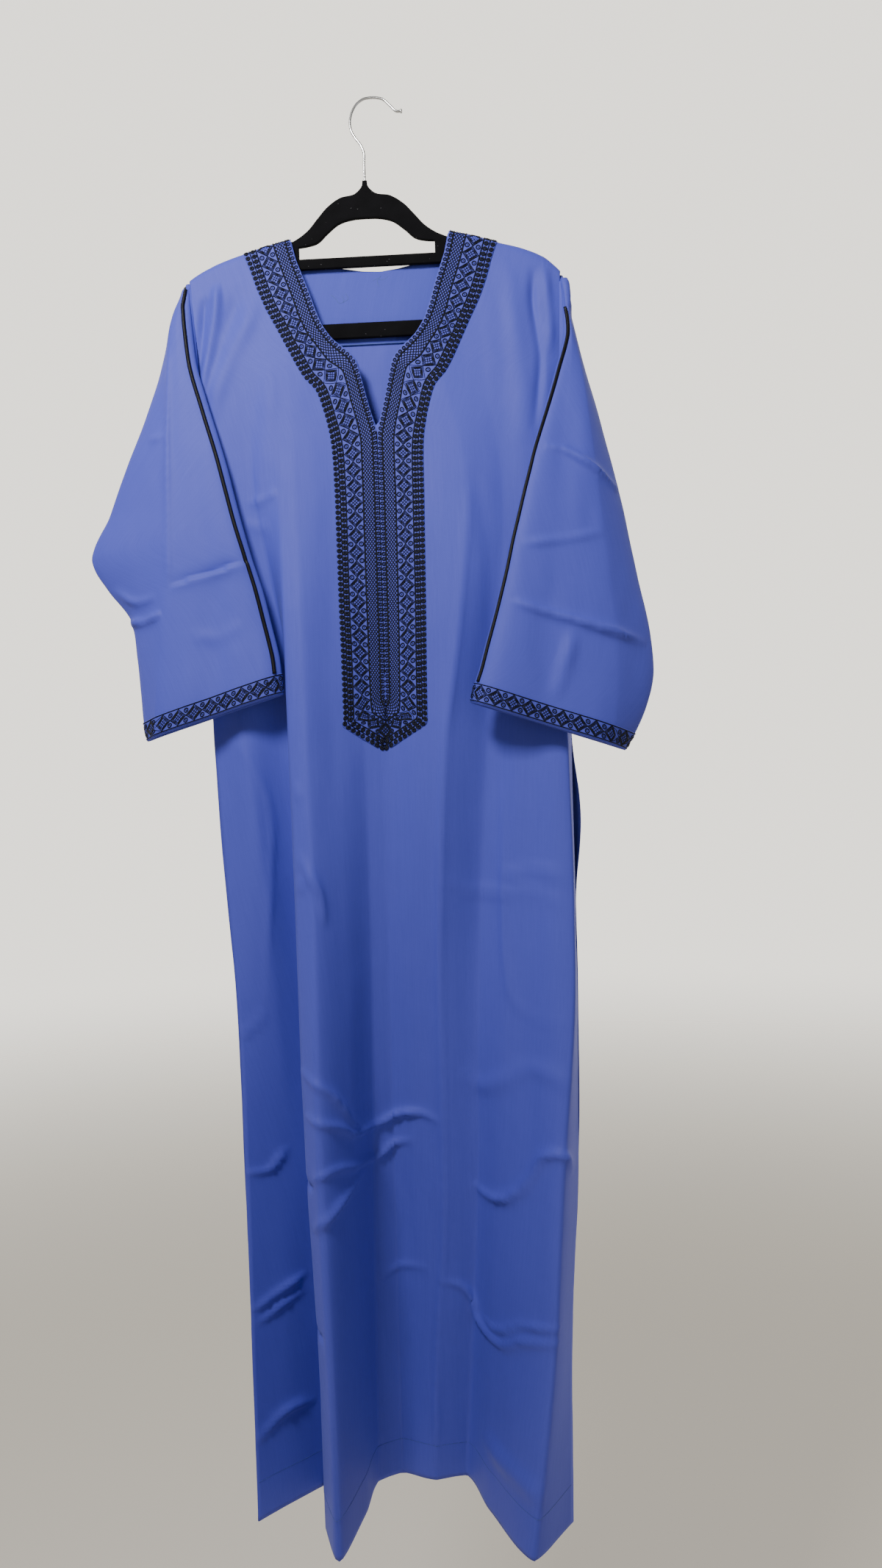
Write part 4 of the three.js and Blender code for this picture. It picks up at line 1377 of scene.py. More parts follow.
    def hem_stitches(self) -> None:
        """Makes the stitches that hold the turned hem."""
        heights = HEM + self.hem_depth + np.array([2.0, 0.0, -2.0])
        grid = self.panel.section(np.linspace(0, LAST_FOLD, 700), heights).transpose(1, 0, 2)
        face = self.raised(grid, flip=True)
        needle = Stitcher(Ground.over(face, np.array([-1.0, 0.0, 1.0]), flip=True), 0.05)
        needle.running(0.0, 2.5, 3.3, 4, 0.5, 0.22)
        dress(add_mesh("hem_stitches", *needle.mesh()), self.wardrobe.sewing)


@dataclass
class BackPanel:
    """The back, cut to the back neckline."""

    wardrobe: Wardrobe
    panel: Panel = field(default_factory=lambda: Panel(back_corners, drop=BACK_DROP, rows=250))
    columns: int = 121
    weights: tuple[float, ...] = (16, 25, 46, 54, 80, 64, 44, 48, 34, 18)

    def sheet(self) -> Sheet:
        """The back before it gets its thickness.

        Returns:
            The sheet.
        """
        place_at = lambda share, z: spread(self.weights, 0, len(self.weights), share)
        grid = self.panel.grid(place_at, self.columns)
        for c in neck_columns(grid):
            line = grid[:, c].copy()
            target = column(BACK_NECK, line[0, 0], 0)[0]
            fall = (line[:, 2] - line[0, 2]) / (line[-1, 2] - line[0, 2])
            grid[:, c] = at_heights(line, target + (line[-1, 2] - target) * fall)
        sheet = Sheet.over(grid)
        return sheet.moved(back_relief(sheet.points[:, 0], sheet.points[:, 2]))

    def build(self) -> None:
        """Makes the piece."""
        piece = add_mesh("back_cloth", *self.sheet().shell(OUTER, INNER))
        dress(piece, self.wardrobe.cloth, ["back_panel"])


@dataclass
class BackFacing:
    """The facing inside the back neck, with its turned edge and a few loose threads."""

    wardrobe: Wardrobe
    back: BackPanel
    edge: float = 7.0

    def build(self) -> None:
        """Makes the facing and its threads."""
        grid = self.back.sheet().points.reshape(self.back.panel.rows, self.back.columns, 3)
        turn = FACING_DEPTH + np.array([7, 6, 4, 2, 1, 0.0])
        lines = []
        for c in neck_columns(grid):
            line = grid[:, c]
            fall = np.linspace(line[0, 2] - 0.4, FACING_DEPTH + 8, 26)
            lines.append(at_heights(line, np.concatenate([fall, turn])))
        points = np.array(lines).transpose(1, 0, 2)
        sheet = Sheet.over(points)
        turned = ramp(self.edge + 0.5, self.edge - 0.5, sheet.points[:, 2] - FACING_DEPTH)
        face, inner = sheet.moved(-0.8 - 0.7 * turned), sheet.moved(0.1)
        piece = add_mesh("back_neck_facing_cloth", *inner.between(face))
        dress(piece, self.wardrobe.facing, ["back_neck_facing"])
        self.threads(face.points.reshape(points.shape))

    def threads(self, face: Array) -> None:
        """Adds the stitched line, the tied ends and a few loose fibres.

        Args:
            face: Points of the facing's visible face.
        """
        band = face[::-1].transpose(1, 0, 2)
        needle = Stitcher(Ground.over(band, band[:, :, 2].mean(0), flip=False), 0.05)
        needle.running(FACING_DEPTH + 5.0, 2.4, 3.1, 3, 0.45, 0.25)
        needle.line(FACING_DEPTH + 0.4, 0.8, 0.3)
        self.lay(needle, LOOSE_LOOPS, band, 0.5)
        dress(add_mesh("facing_stitches", *needle.mesh()), self.wardrobe.sewing)
        knots = Stitcher(needle.ground, 0.1)
        self.lay(knots, KNOTTED_ENDS, band, 0.6)
        dress(add_mesh("knotted_thread_ends", *knots.mesh()), self.wardrobe.thread)

    @staticmethod
    def lay(needle: "Stitcher", lines: Sequence, band: Array, width: float) -> None:
        """Lays loose threads on the facing.

        Args:
            needle: The stitcher, on the band.
            lines: Their points as (x, z).
            band: Points of the facing, from one side to the other and from low to high.
            width: Width of a thread.
        """
        xs = band[:, band.shape[1] // 2, 0]
        way = np.sign(xs[-1] - xs[0])
        for line in lines:
            path = smooth_path(line, 0.7)
            row = np.interp(path[:, 0] * way, xs * way, np.arange(len(xs)))
            needle.strands(row[None], path[None, :, 1], width, 0.7)


# ---- Sleeves ----

CORD_CORNER, INNER_CORNER = 5, 6  # numbers of a sleeve's corners under the cord and at its inner fold


@dataclass(frozen=True)
class Station:
    """A section of a sleeve.

    Attributes:
        z: Heights of its inner and outer edge.
        seam: x of its seam edges, and the y of the front one and the back one.
        inner: x of the inner fold.
        face: y of the flat front.
        crease: x and y of the pressed line.
        outer: x and y of the outer fold.
        back: y of the back.
        ply: y of the strip folded behind the inner edge.
    """

    z: Pair
    seam: tuple[float, float, float]
    inner: float
    face: float
    crease: Pair
    outer: Pair
    back: float
    ply: float

    def row(self) -> list[float]:
        """All numbers of the station, in order.

        Returns:
            The numbers.
        """
        return [*self.z, *self.seam, self.inner, self.face, *self.crease, *self.outer, self.back, self.ply]


RIGHT_STATIONS = (
    Station((-197, -197), (-209.6, -4, 4), -209.9, -4.6, (-213, -3.5), (-214, 0), 3, -4.2),
    Station((-212, -212), (-208.2, -6.5, 6), -209, -9, (-216.5, -8), (-218.5, -1), 5, -7),
    Station((-232, -232), (-206.6, -8, 7), -207.5, -14, (-223, -13), (-227, -3), 6, -9.5),
    Station((-255, -256), (-205, -9.5, 8), -205.5, -18, (-229, -16), (-232, -6), 7, -12),
    Station((-299, -301), (-201.9, -14, 7.5), -199.5, -24, (-231, -22), (-243, -9), 6, -17.5),
    Station((-348, -352), (-199, -18, 4), -186, -30, (-231, -29), (-261, -11), 2, -22),
    Station((-400, -412), (-198.5, -20.5, -3), -171, -36, (-231, -35), (-286, -14), -4, -26.5),
    Station((-440, -458), (-199, -23, -12), -161, -40, (-231, -39), (-303, -16), -8, -29),
    Station((-478, -504), (-203, -25, -25), -151.5, -43, (-231, -43), (-325, -18), -14, -31),
    Station((-510, -540), (-210, -26, -26), -142, -45, (-232, -45), (-305, -19), -17, -32),
    Station((-545, -574), (-219, -28, -28), -131.5, -46, (-237, -46), (-281, -20), -20, -33),
    Station((-585, -617), (-229, -31, -31), -122, -48, (-243, -47), (-274, -24), -26, -36),
    Station((-620, -655), (-238, -35, -35), -114, -51, (-247, -48), (-270, -28), -30, -38.5),
    Station((-641, -688), (-244, -37, -37), -111.5, -53, (-250, -49), (-267, -31), -33, -40.5),
    Station((-664, -709), (-248, -39, -39), -110.5, -54, (-252, -49), (-263, -33), -35, -41.5),
)
LEFT_STATIONS = (
    Station((-209, -209), (206.8, -5, 4), 207.4, -5.6, (208.6, -4), (209.5, 0), 3, -5),
    Station((-226, -226), (206.4, -6.8, 6), 208, -10, (212, -8), (212.5, -2), 5, -8),
    Station((-251, -252), (205.8, -8.5, 7), 208, -14, (213, -12), (215, -4), 6, -11),
    Station((-281, -283), (204.8, -11, 7), 208, -19, (218, -17), (221, -6), 6, -14),
    Station((-321, -325), (203, -15, 6), 196.5, -26, (224, -24), (230, -9), 5, -19),
    Station((-367, -374), (202, -18.5, 2), 182, -34, (228, -32), (242.5, -12), 0, -24),
    Station((-410, -422), (202, -21, -5), 168, -42, (232, -39), (253, -16), -7, -29),
    Station((-452, -468), (202.6, -24, -15), 156, -49, (236, -45), (262, -20), -14, -34),
    Station((-497, -516), (206, -29, -29), 143.5, -55, (240, -50), (269.5, -25), -22, -39),
    Station((-541, -564), (213, -34, -34), 133, -59, (244, -54), (278, -29), -28, -43),
    Station((-583, -610), (222, -38, -38), 122, -62, (248, -56), (286, -32), -33, -46),
    Station((-620, -655), (231, -41, -41), 111, -65, (248, -58), (288, -35), -36, -49),
    Station((-645, -690), (237, -43, -43), 103.5, -67, (246, -60), (279, -38), -39, -52),
    Station((-660, -718), (240, -44, -44), 98, -68, (243, -61), (266, -40), -40, -54),
    Station((-681, -736), (238, -44, -44), 92.5, -69, (240, -61), (254, -42), -41, -55),
)
RIGHT_SLEEVE_CREASES = (
    Crease(((-283, -576), (-262, -578), (-239, -571)), 6.9, 4),
    Crease(((-231, -542), (-188, -531), (-144, -519)), 4.9, 3.5, Profile.STEP),
    Crease(((-230, -375), (-256, -377)), 2.4, 4),
    Crease(((-229, -272), (-231, -400), (-231, -543)), 2.9, 4, Profile.PINCH, (0.1, 0.1)),
    Crease(((-298, -540), (-270, -556), (-246, -552)), 4.1, 4.6),
    Crease(((-150, -585), (-175, -600), (-210, -596)), 1.2, 7.7, Profile.ROLL),
)
LEFT_SLEEVE_CREASES = (
    Crease(((179, -408), (202, -414), (219, -425), (258, -455)), 7.4, 4.1),
    Crease(((140, -576), (158, -583), (207, -599), (282, -623)), 9.8, 4.6),
    Crease(((205, -605), (190, -654), (180, -683)), 3.5, 6.4, Profile.ROLL),
    Crease(((208, -211), (212, -234), (216, -257)), 4.4, 4),
    Crease(((150, -515), (190, -512), (240, -504)), 2.5, 4.3, Profile.ROLL),
)


@dataclass
class Sleeve:
    """A wide sleeve, hanging flat in front of the body's side, with a cord down its inner edge.

    Attributes:
        name: Which side of the wearer it is on.
        side: -1 for the right and 1 for the left.
        stations: Its sections.
        cord_inset: How far the cord stands from the inner fold.
        creases: Creases of its face.
        seed: Picks its soft swells.
        roof: Station number down to which its top closes under the shoulder.
    """

    wardrobe: Wardrobe
    name: str
    side: int
    stations: tuple[Station, ...]
    cord_inset: float
    creases: tuple[Crease, ...]
    seed: int
    roof: float = 0.5
    rows: int = 160
    columns: int = 131
    weights: tuple[float, ...] = (32, 50, 56, 30, 30, 9, 22, 22)

    def corners(self, t: Array) -> Array:
        """Corner points of its sections.

        Args:
            t: Station numbers with their fractions, (N,).

        Returns:
            Points, (N, 9, 3).
        """
        rows = np.array([station.row() for station in self.stations], float)
        (z_in, z_out, seam_x, seam_front, seam_back, inner, face, crease_x, crease_y, outer_x, outer_y, back,
         ply) = read_table(np.arange(len(rows)), rows, t, 0.85).T
        cord_x = inner + self.side * np.minimum(self.cord_inset, np.abs(crease_x - inner) * 0.5)
        lap_x = seam_x - self.side * SEAM_LAP
        plan = ((lap_x, seam_back), ((seam_x + outer_x) / 2, back), (outer_x, outer_y), (crease_x, crease_y),
                ((crease_x + cord_x) / 2, face - 1), (cord_x, face), (inner, (face + ply) / 2),
                ((inner + seam_x) / 2, ply), (lap_x, seam_front))
        slope = (z_out - z_in) / (outer_x - inner)
        return np.stack([np.stack([x, y, z_in + slope * (x - inner)], 1) for x, y in plan], 1)

    def at(self, t: Array, place: Array) -> Array:
        """Points of the inner face.

        Args:
            t: Station numbers with their fractions.
            place: Corner numbers with their fractions.

        Returns:
            Points, (N, 3).
        """
        points = read_corners(self.corners(t), place, 0.7)
        shut = np.sqrt(np.clip(1 - t / self.roof, 0, 1))
        points[:, 1] *= 1 - 0.9 * shut
        points[:, 0] -= self.side * 2.5 * shut
        return points

    def stretch(self, start: float, end: float, rows: int, place: Array | None = None) -> Sheet:
        """A stretch of the sleeve before it gets its thickness.

        Args:
            start: Station number of its upper edge.
            end: Station number of its lower edge.
            rows: Number of rows.
            place: Corner numbers of its columns, all round if none are given.

        Returns:
            The sheet, with its creases.
        """
        steps = np.linspace(start, end, rows * 4)
        fall = self.corners(steps)[:, INNER_CORNER, 2]
        t = np.interp(np.linspace(-fall[0], -fall[-1], rows), -fall, steps)
        if place is None:
            place = spread(self.weights, 0, len(self.weights), np.linspace(0, 1, self.columns))
        columns = len(place)
        grid = self.at(np.repeat(t, columns), np.tile(place, rows)).reshape(rows, columns, 3)
        flat = np.stack([lengths_along(grid, 1), grid[:, :, 2]], 2).reshape(-1, 2)
        sheet = Sheet(grid.reshape(-1, 3), grid_faces(rows, columns, flip=self.side > 0), flat)
        return sheet.moved(self.relief(sheet, np.tile(place, rows)))

    def relief(self, sheet: Sheet, place: Array) -> Array:
        """How far creases and soft swells move the cloth out.

        Args:
            sheet: The sheet.
            place: Corner numbers of its points.

        Returns:
            Millimetres.
        """
        x, z = sheet.points[:, 0], sheet.points[:, 2]
        shown = ramp(0.1, -0.5, sheet.normals()[:, 1]) * ramp(1.6, 2.2, place) * ramp(6.4, 5.9, place)
        free = ramp(-0.1, 0.5, place) * ramp(8.1, 7.4, place)
        swell = soft_noise(x, z, (24, 120), self.seed) * 0.9
        swell += soft_noise(x, z, (13, 34), self.seed + 1) * 0.35
        return creased(self.creases, x, z) * shown + swell * free

    def build(self) -> None:
        """Makes the sleeve."""
        sheet = self.stretch(0, len(self.stations) - 1, self.rows)
        piece = add_mesh(f"sleeve_{self.name}_cloth", *sheet.shell(OUTER, INNER))
        dress(piece, self.wardrobe.cloth, [f"upper_sleeve_{self.name}", f"lower_sleeve_{self.name}"])


# ---- Embroidery ----

ROOT = 0.08  # how far a strand reaches down into the cloth


@dataclass
class Ground:
    """The cloth under a band of stitches, read by lane coordinates.

    Attributes:
        points: Grid of points on the cloth's outer face, (R, C, 3): rows follow the band.
        normals: Their unit normals.
        lanes: Lane coordinate of each column.
    """

    points: Array
    normals: Array
    lanes: Array

    @classmethod
    def over(cls, points: Array, lanes: Array, flip: bool) -> "Ground":
        """A ground over a grid of points.

        Args:
            points: The grid, (R, C, 3).
            lanes: Lane coordinate of each column.
            flip: Turns its normals round.

        Returns:
            The ground.
        """
        return cls(points, Sheet.over(points, flip).normals().reshape(points.shape), lanes)

    def at(self, row: Array, lane: Array) -> tuple[Array, Array]:
        """Points and normals.

        Args:
            row: Row numbers with their fractions.
            lane: Lane coordinates.

        Returns:
            Points and unit normals, each (..., 3).
        """
        col = np.interp(lane, self.lanes, np.arange(len(self.lanes)))
        points, normals = (bilinear(grid, row, col) for grid in (self.points, self.normals))
        return points, normals / np.linalg.norm(normals, axis=-1, keepdims=True)

    def walk(self, lane: float) -> Array:
        """Distance walked along a lane, at each row.

        Args:
            lane: The lane.

        Returns:
            Millimetres, (R,).
        """
        rows = np.arange(len(self.points), dtype=float)
        return distances(self.at(rows, np.full(len(rows), lane))[0])

    def rows_at(self, lane: float, distance: Array) -> Array:
        """Rows at given distances along a lane.

        Args:
            lane: The lane.
            distance: Millimetres from its start.

        Returns:
            Row numbers with their fractions.
        """
        way = self.walk(lane)
        return np.interp(distance, way, np.arange(len(way)))

    def even_rows(self, lane: float, pitch: float, margin: float = 0.5) -> Array:
        """Rows of points spaced evenly along a lane.

        Args:
            lane: The lane.
            pitch: Rough distance between them.
            margin: Free space at both ends, in pitches.

        Returns:
            Row numbers with their fractions.
        """
        total = self.walk(lane)[-1]
        count = max(int(round(total / pitch - 2 * margin)) + 1, 2)
        return self.rows_at(lane, np.linspace(margin * pitch, total - margin * pitch, count))

    def metric(self, row: Array, lane: Array) -> tuple[Array, Array]:
        """Millimetres in one row and in one lane, at given places.

        Args:
            row: Row numbers.
            lane: Lane coordinates.

        Returns:
            Lengths along and across the band.
        """
        along = self.at(row + 0.5, lane)[0] - self.at(row - 0.5, lane)[0]
        across = self.at(row, lane + 0.08)[0] - self.at(row, lane - 0.08)[0]
        return np.linalg.norm(along, axis=-1), np.linalg.norm(across, axis=-1) / 0.16


@dataclass
class Stitcher:
    """Collects raised strands of thread on a ground.

    Attributes:
        ground: The cloth under them.
        lift: Height of the cloth's face over the ground.
    """

    ground: Ground
    lift: float
    points: list[Array] = field(default_factory=list)
    faces: list[Array] = field(default_factory=list)
    flat: list[Array] = field(default_factory=list)
    count: int = 0

    def strands(self, row: Array, lane: Array, width: float, height: Array | float, loop: bool = False,
                taper: Array | None = None) -> None:
        """Lays strands of four-sided section.

        Args:
            row: Row numbers of their points, (S, K).
            lane: Lane coordinates of their points, (S, K).
            width: Width of a strand.
            height: How far it stands up.
            loop: Joins each strand's end to its start.
            taper: Share of the width at each point, (K,).
        """
        points, normals = self.ground.at(row, lane)
        if loop:
            tangent = np.roll(points, -1, axis=1) - np.roll(points, 1, axis=1)
        else:
            tangent = np.gradient(points, axis=1)
        across = np.cross(normals, tangent)
        across /= np.maximum(np.linalg.norm(across, axis=-1, keepdims=True), 1e-9)
        share = np.ones(row.shape[1]) if taper is None else np.asarray(taper)
        wide = (width * share)[None, :, None]
        high = np.broadcast_to(height * np.sqrt(share), share.shape)[None, :, None]
        base, rise = points + normals * (self.lift - ROOT), normals * (high + ROOT)
        section = np.stack([base - across * wide / 2, base - across * wide / 4 + rise,
                            base + across * wide / 4 + rise, base + across * wide / 2], 2)
        strands, length = row.shape
        start = self.count + (np.arange(strands) * length * 4)[:, None, None]
        ring = np.arange(length if loop else length - 1)[None, :, None]
        side = np.arange(4)[None, None, :]
        here, ahead, beside = start + ring * 4, start + ((ring + 1) % length) * 4, (side + 1) % 4
        quads = np.stack([here + side, ahead + side, ahead + beside, here + beside], -1).reshape(-1, 4)
        self.faces.append(quads)
        if not loop:
            first = self.count + (np.arange(strands) * length * 4)[:, None]
            corners = np.arange(4)[None]
            self.faces.append(first + corners)
            self.faces.append(first + (length - 1) * 4 + corners[:, ::-1])
        walked = np.concatenate([np.zeros((strands, 1)), np.cumsum(
            np.linalg.norm(np.diff(points, axis=1), axis=-1), axis=1)], axis=1)
        flat = np.zeros((strands, length, 4, 2))
        flat[..., 0] = walked[..., None]
        flat[..., 1] = (np.array([-0.5, -0.25, 0.25, 0.5]) * width)[None, None]
        self.points.append(section.reshape(-1, 3))
        self.flat.append(flat.reshape(-1, 2))
        self.count += strands * length * 4

    def line(self, lane: float, width: float, height: float, step: float = 3.2, start: float = 0.0,
             end: float = 0.0) -> None:
        """Lays one strand along a lane.

        Args:
            lane: The lane.
            width: Width of the strand.
            height: How far it stands up.
            step: Distance between its points.
            start: Distance left free at its start.
            end: Distance left free at its end.
        """
        total = self.ground.walk(lane)[-1]
        way = np.linspace(start, total - end, max(int((total - start - end) / step), 4))
        row = self.ground.rows_at(lane, way)[None]
        self.strands(row, np.full_like(row, lane), width, height)

    def running(self, lane: float, stitch: float, pitch: float, free: float, width: float,
                height: float) -> None:
        """Lays a row of running stitches along a lane.

        Args:
            lane: The lane.
            stitch: Length of a stitch.
            pitch: Distance from one stitch to the next.
            free: Distance left free at the end.
            width: Width of the thread.
            height: How far it stands up.
        """
        starts = np.arange(1.5, self.ground.walk(lane)[-1] - free, pitch)
        row = self.ground.rows_at(lane, starts[:, None] + np.array([[0, 0.5, 1.0]]) * stitch)
        self.strands(row, np.full_like(row, lane), width, height)

    def motifs(self, row: Array, lane: float, outline: Sequence[Pair], width: float, height: float,
               loop: bool = False, taper: Array | None = None, scale: Array | float = 1.0) -> None:
        """Lays the same figure at many places.

        Args:
            row: Rows of its middles.
            lane: Lane of its middles.
            outline: Points as (along, across) from its middle.
            width: Width of the strand.
            height: How far it stands up.
            loop: Closes the figure.
            taper: Share of the width at each point.
            scale: Size of each figure.
        """
        shape = np.asarray(outline, float)
        places = np.full_like(row, lane)
        along, across = self.ground.metric(row, places)
        size = np.broadcast_to(scale, row.shape)[:, None]
        rows = row[:, None] + size * shape[None, :, 0] / along[:, None]
        lanes = lane + size * shape[None, :, 1] / across[:, None]
        self.strands(rows, lanes, width, height, loop, taper)

    def bobbles(self, row: Array, lane: float, radius: float, sides: int = 10, thick: float = 0.62,
                scale: Array | float = 1.0) -> None:
        """Lays small coiled discs: a ring of thread round a knot.

        Args:
            row: Rows of their middles.
            lane: Their lane.
            radius: Outer radius.
            sides: Sides of the ring.
            thick: Width of the ring, as a share of the radius.
            scale: Size of each.
        """
        turn = np.linspace(0, 2 * math.pi, sides, endpoint=False)
        middle = radius * (1 - thick / 2)
        ring = np.stack([middle * np.cos(turn), middle * np.sin(turn)], 1)
        self.motifs(row, lane, ring, radius * thick, 0.7, loop=True, scale=scale)
        knot = [(-radius * 0.3, -radius * 0.1), (0, radius * 0.1), (radius * 0.3, -radius * 0.05)]
        self.motifs(row, lane, knot, radius * 0.36, 0.5, taper=np.array([0.5, 1, 0.5]), scale=scale)

    def diamonds(self, row: Array, lane: float, half: Pair, scale: Array | float = 1.0) -> None:
        """Lays diamonds: three outlines round a grid of nine small cells.

        Args:
            row: Rows of their middles.
            lane: Their lane.
            half: Half diagonals, along and across.
            scale: Size of each.
        """
        along, across = half
        corners = np.array([(along, 0), (0, across), (-along, 0), (0, -across)], float)
        path = np.concatenate([corners[k] + (corners[(k + 1) % 4] - corners[k]) * np.array([[0.0], [0.5]])
                               for k in range(4)])
        for share in (1.0, 0.83, 0.66):
            self.motifs(row, lane, path * share, 1.1, 0.52, loop=True, scale=scale)
        reach, gap = 0.6, 0.2
        for offset in (gap, -gap):
            ends = np.array([(offset - reach, offset + reach), (offset + reach, offset - reach)]) / 2
            for sign in (1, -1):
                self.motifs(row, lane, ends * (along, sign * across), 0.85, 0.42, scale=scale)

    def zigzags(self, centres: Array, lane: float, reach: float) -> None:
        """Lays two zigzag strands that cross between the diamonds.

        Args:
            centres: Rows of the diamonds' middles.
            lane: Their lane.
            reach: How far the strands swing out, in lanes.
        """
        gaps = (centres[1:] + centres[:-1]) / 2
        knots = np.sort(np.concatenate([centres, gaps]))
        swing = np.zeros(len(knots))
        swing[::2] = reach * np.where(np.arange(len(knots[::2])) % 2 == 0, 1, -1)
        fine = np.linspace(0, len(knots) - 1, (len(knots) - 1) * 4 + 1)
        row = np.interp(fine, np.arange(len(knots)), knots)[None]
        for sign in (1, -1):
            self.strands(row, lane + sign * np.interp(fine, np.arange(len(knots)), swing)[None], 0.8, 0.45)

    def lattice(self, inner: float, outer: float, pitch: float, run: float, width: float) -> None:
        """Lays crossing threads between two lanes.

        Args:
            inner: First lane.
            outer: Last lane.
            pitch: Distance between threads along the band.
            run: How far a thread runs along the band while it crosses.
            width: Width of a thread.
        """
        middle = (inner + outer) / 2
        total = self.ground.walk(middle)[-1]
        share = np.linspace(0, 1, 7)
        for direction in (1, -1):
            starts = np.arange(-run, total, pitch)
            way = starts[:, None] + (share if direction > 0 else 1 - share)[None] * run
            kept = np.clip(way, 0, total)
            row = self.ground.rows_at(middle, kept)
            lane = np.broadcast_to(inner + (outer - inner) * share, row.shape).copy()
            edge = way != kept
            inside = ~edge
            useful = inside.sum(1) > 1
            for k in np.nonzero(edge.any(1) & useful)[0]:
                lane[k] = np.interp(kept[k], *self._rising(way[k], lane[k]))
            self.strands(row[useful], lane[useful], width, 0.4)

    @staticmethod
    def _rising(way: Array, lane: Array) -> tuple[Array, Array]:
        """A line's points, sorted so that the way rises.

        Args:
            way: Distance of each along the band.
            lane: Their lanes.

        Returns:
            Both, sorted.
        """
        order = np.argsort(way)
        return way[order], lane[order]

    def mesh(self) -> tuple[Array, Array, Array]:
        """Everything laid so far.

        Returns:
            Points, faces and flat places.
        """
        return np.concatenate(self.points), np.concatenate(self.faces), np.concatenate(self.flat)


@dataclass
class Cord:
    """The flat black braid along a sleeve, from the shoulder to the cuff."""

    wardrobe: Wardrobe
    sleeve: Sleeve
    start: float = 0.3
    end: float = 12.95
    width: float = 4.4

    def build(self) -> None:
        """Makes the braid: a flat band with a narrower one on its back."""
        rows, place = 260, CORD_CORNER + np.linspace(-0.25, 0.25, 5)
        sheet = self.sleeve.stretch(self.start, self.end, rows, place).moved(OUTER)
        grid = sheet.points.reshape(rows, 5, 3)
        needle = Stitcher(Ground.over(grid, np.linspace(-2, 2, 5), flip=self.sleeve.side > 0), 0.35)
        needle.line(0.0, self.width, 1.3, 2.0)
        needle.line(0.0, self.width * 0.62, 1.9, 2.0)
        name = self.sleeve.name
        piece = add_mesh(f"braid_{name}", *needle.mesh())
        dress(piece, self.wardrobe.cord, [f"cord_{name}"])


# Half widths and heights of the neck band's five lines at each station, from the shoulder down the neck
# edge and the slit to the point: neck edge, bobbles' line, lattice's line, diamonds' line, outer edge.
NECK_LANES = (
    ((89.5, -153), (94.5, -154.5), (108, -158), (128, -163.5), (142, -167.5)),
    ((84, -174), (89.7, -175.5), (102, -179), (121.5, -184.5), (134.5, -188)),
    ((77, -194), (83, -196), (95.5, -199.5), (115.5, -205), (128, -209)),
    ((69.5, -215), (75.5, -217), (88, -221), (107.5, -227), (119.5, -231)),
    ((63, -236), (68.8, -239), (81, -244), (96.5, -250.5), (107, -256)),
    ((56.5, -253), (61.5, -256.5), (73, -262), (88.5, -268.5), (97.8, -275)),
    ((47, -268), (51.4, -271.3), (61.5, -279), (77, -290.5), (87, -298)),
    ((37, -278), (40.6, -282.2), (50.5, -294.5), (68, -308), (77.5, -314)),
    ((26, -287.5), (29.5, -292), (41, -301), (59, -317.5), (66.5, -326.5)),
    ((20.5, -294.5), (25.5, -299), (36, -305), (54.5, -325), (63.5, -333.5)),
    ((16.5, -309.5), (21.5, -312), (31.5, -319.5), (51.2, -334.5), (60.8, -342)),
    ((11, -333.5), (16.2, -335.5), (27.3, -341), (46.6, -353), (56, -359)),
    ((5.5, -356), (10.6, -358), (21.8, -363.5), (42, -371.5), (52.3, -379)),
    ((0.5, -377), (5.6, -380), (18.3, -384), (39, -388.5), (51, -392)),
    ((0, -405), (5.4, -405), (17.9, -406), (37.7, -407.5), (50.1, -409)),
    ((0, -450), (5.4, -450), (17.9, -450), (37, -450), (49.3, -450)),
    ((0, -560), (5.3, -560), (17.4, -560), (36.4, -560), (47.6, -560)),
    ((0, -655), (5, -655), (16.3, -655), (35, -655), (46, -655)),
    ((0, -668), (4.9, -670), (15.8, -676), (34.8, -685), (45.7, -691)),
    ((0, -672), (3.8, -675.5), (14.5, -686), (34, -694.5), (45.2, -701)),
    ((0, -673), (2.3, -678), (8, -690.5), (20, -703), (25, -714)),
    ((0, -674), (0, -679), (0, -695), (0, -715), (0, -729.5)),
)


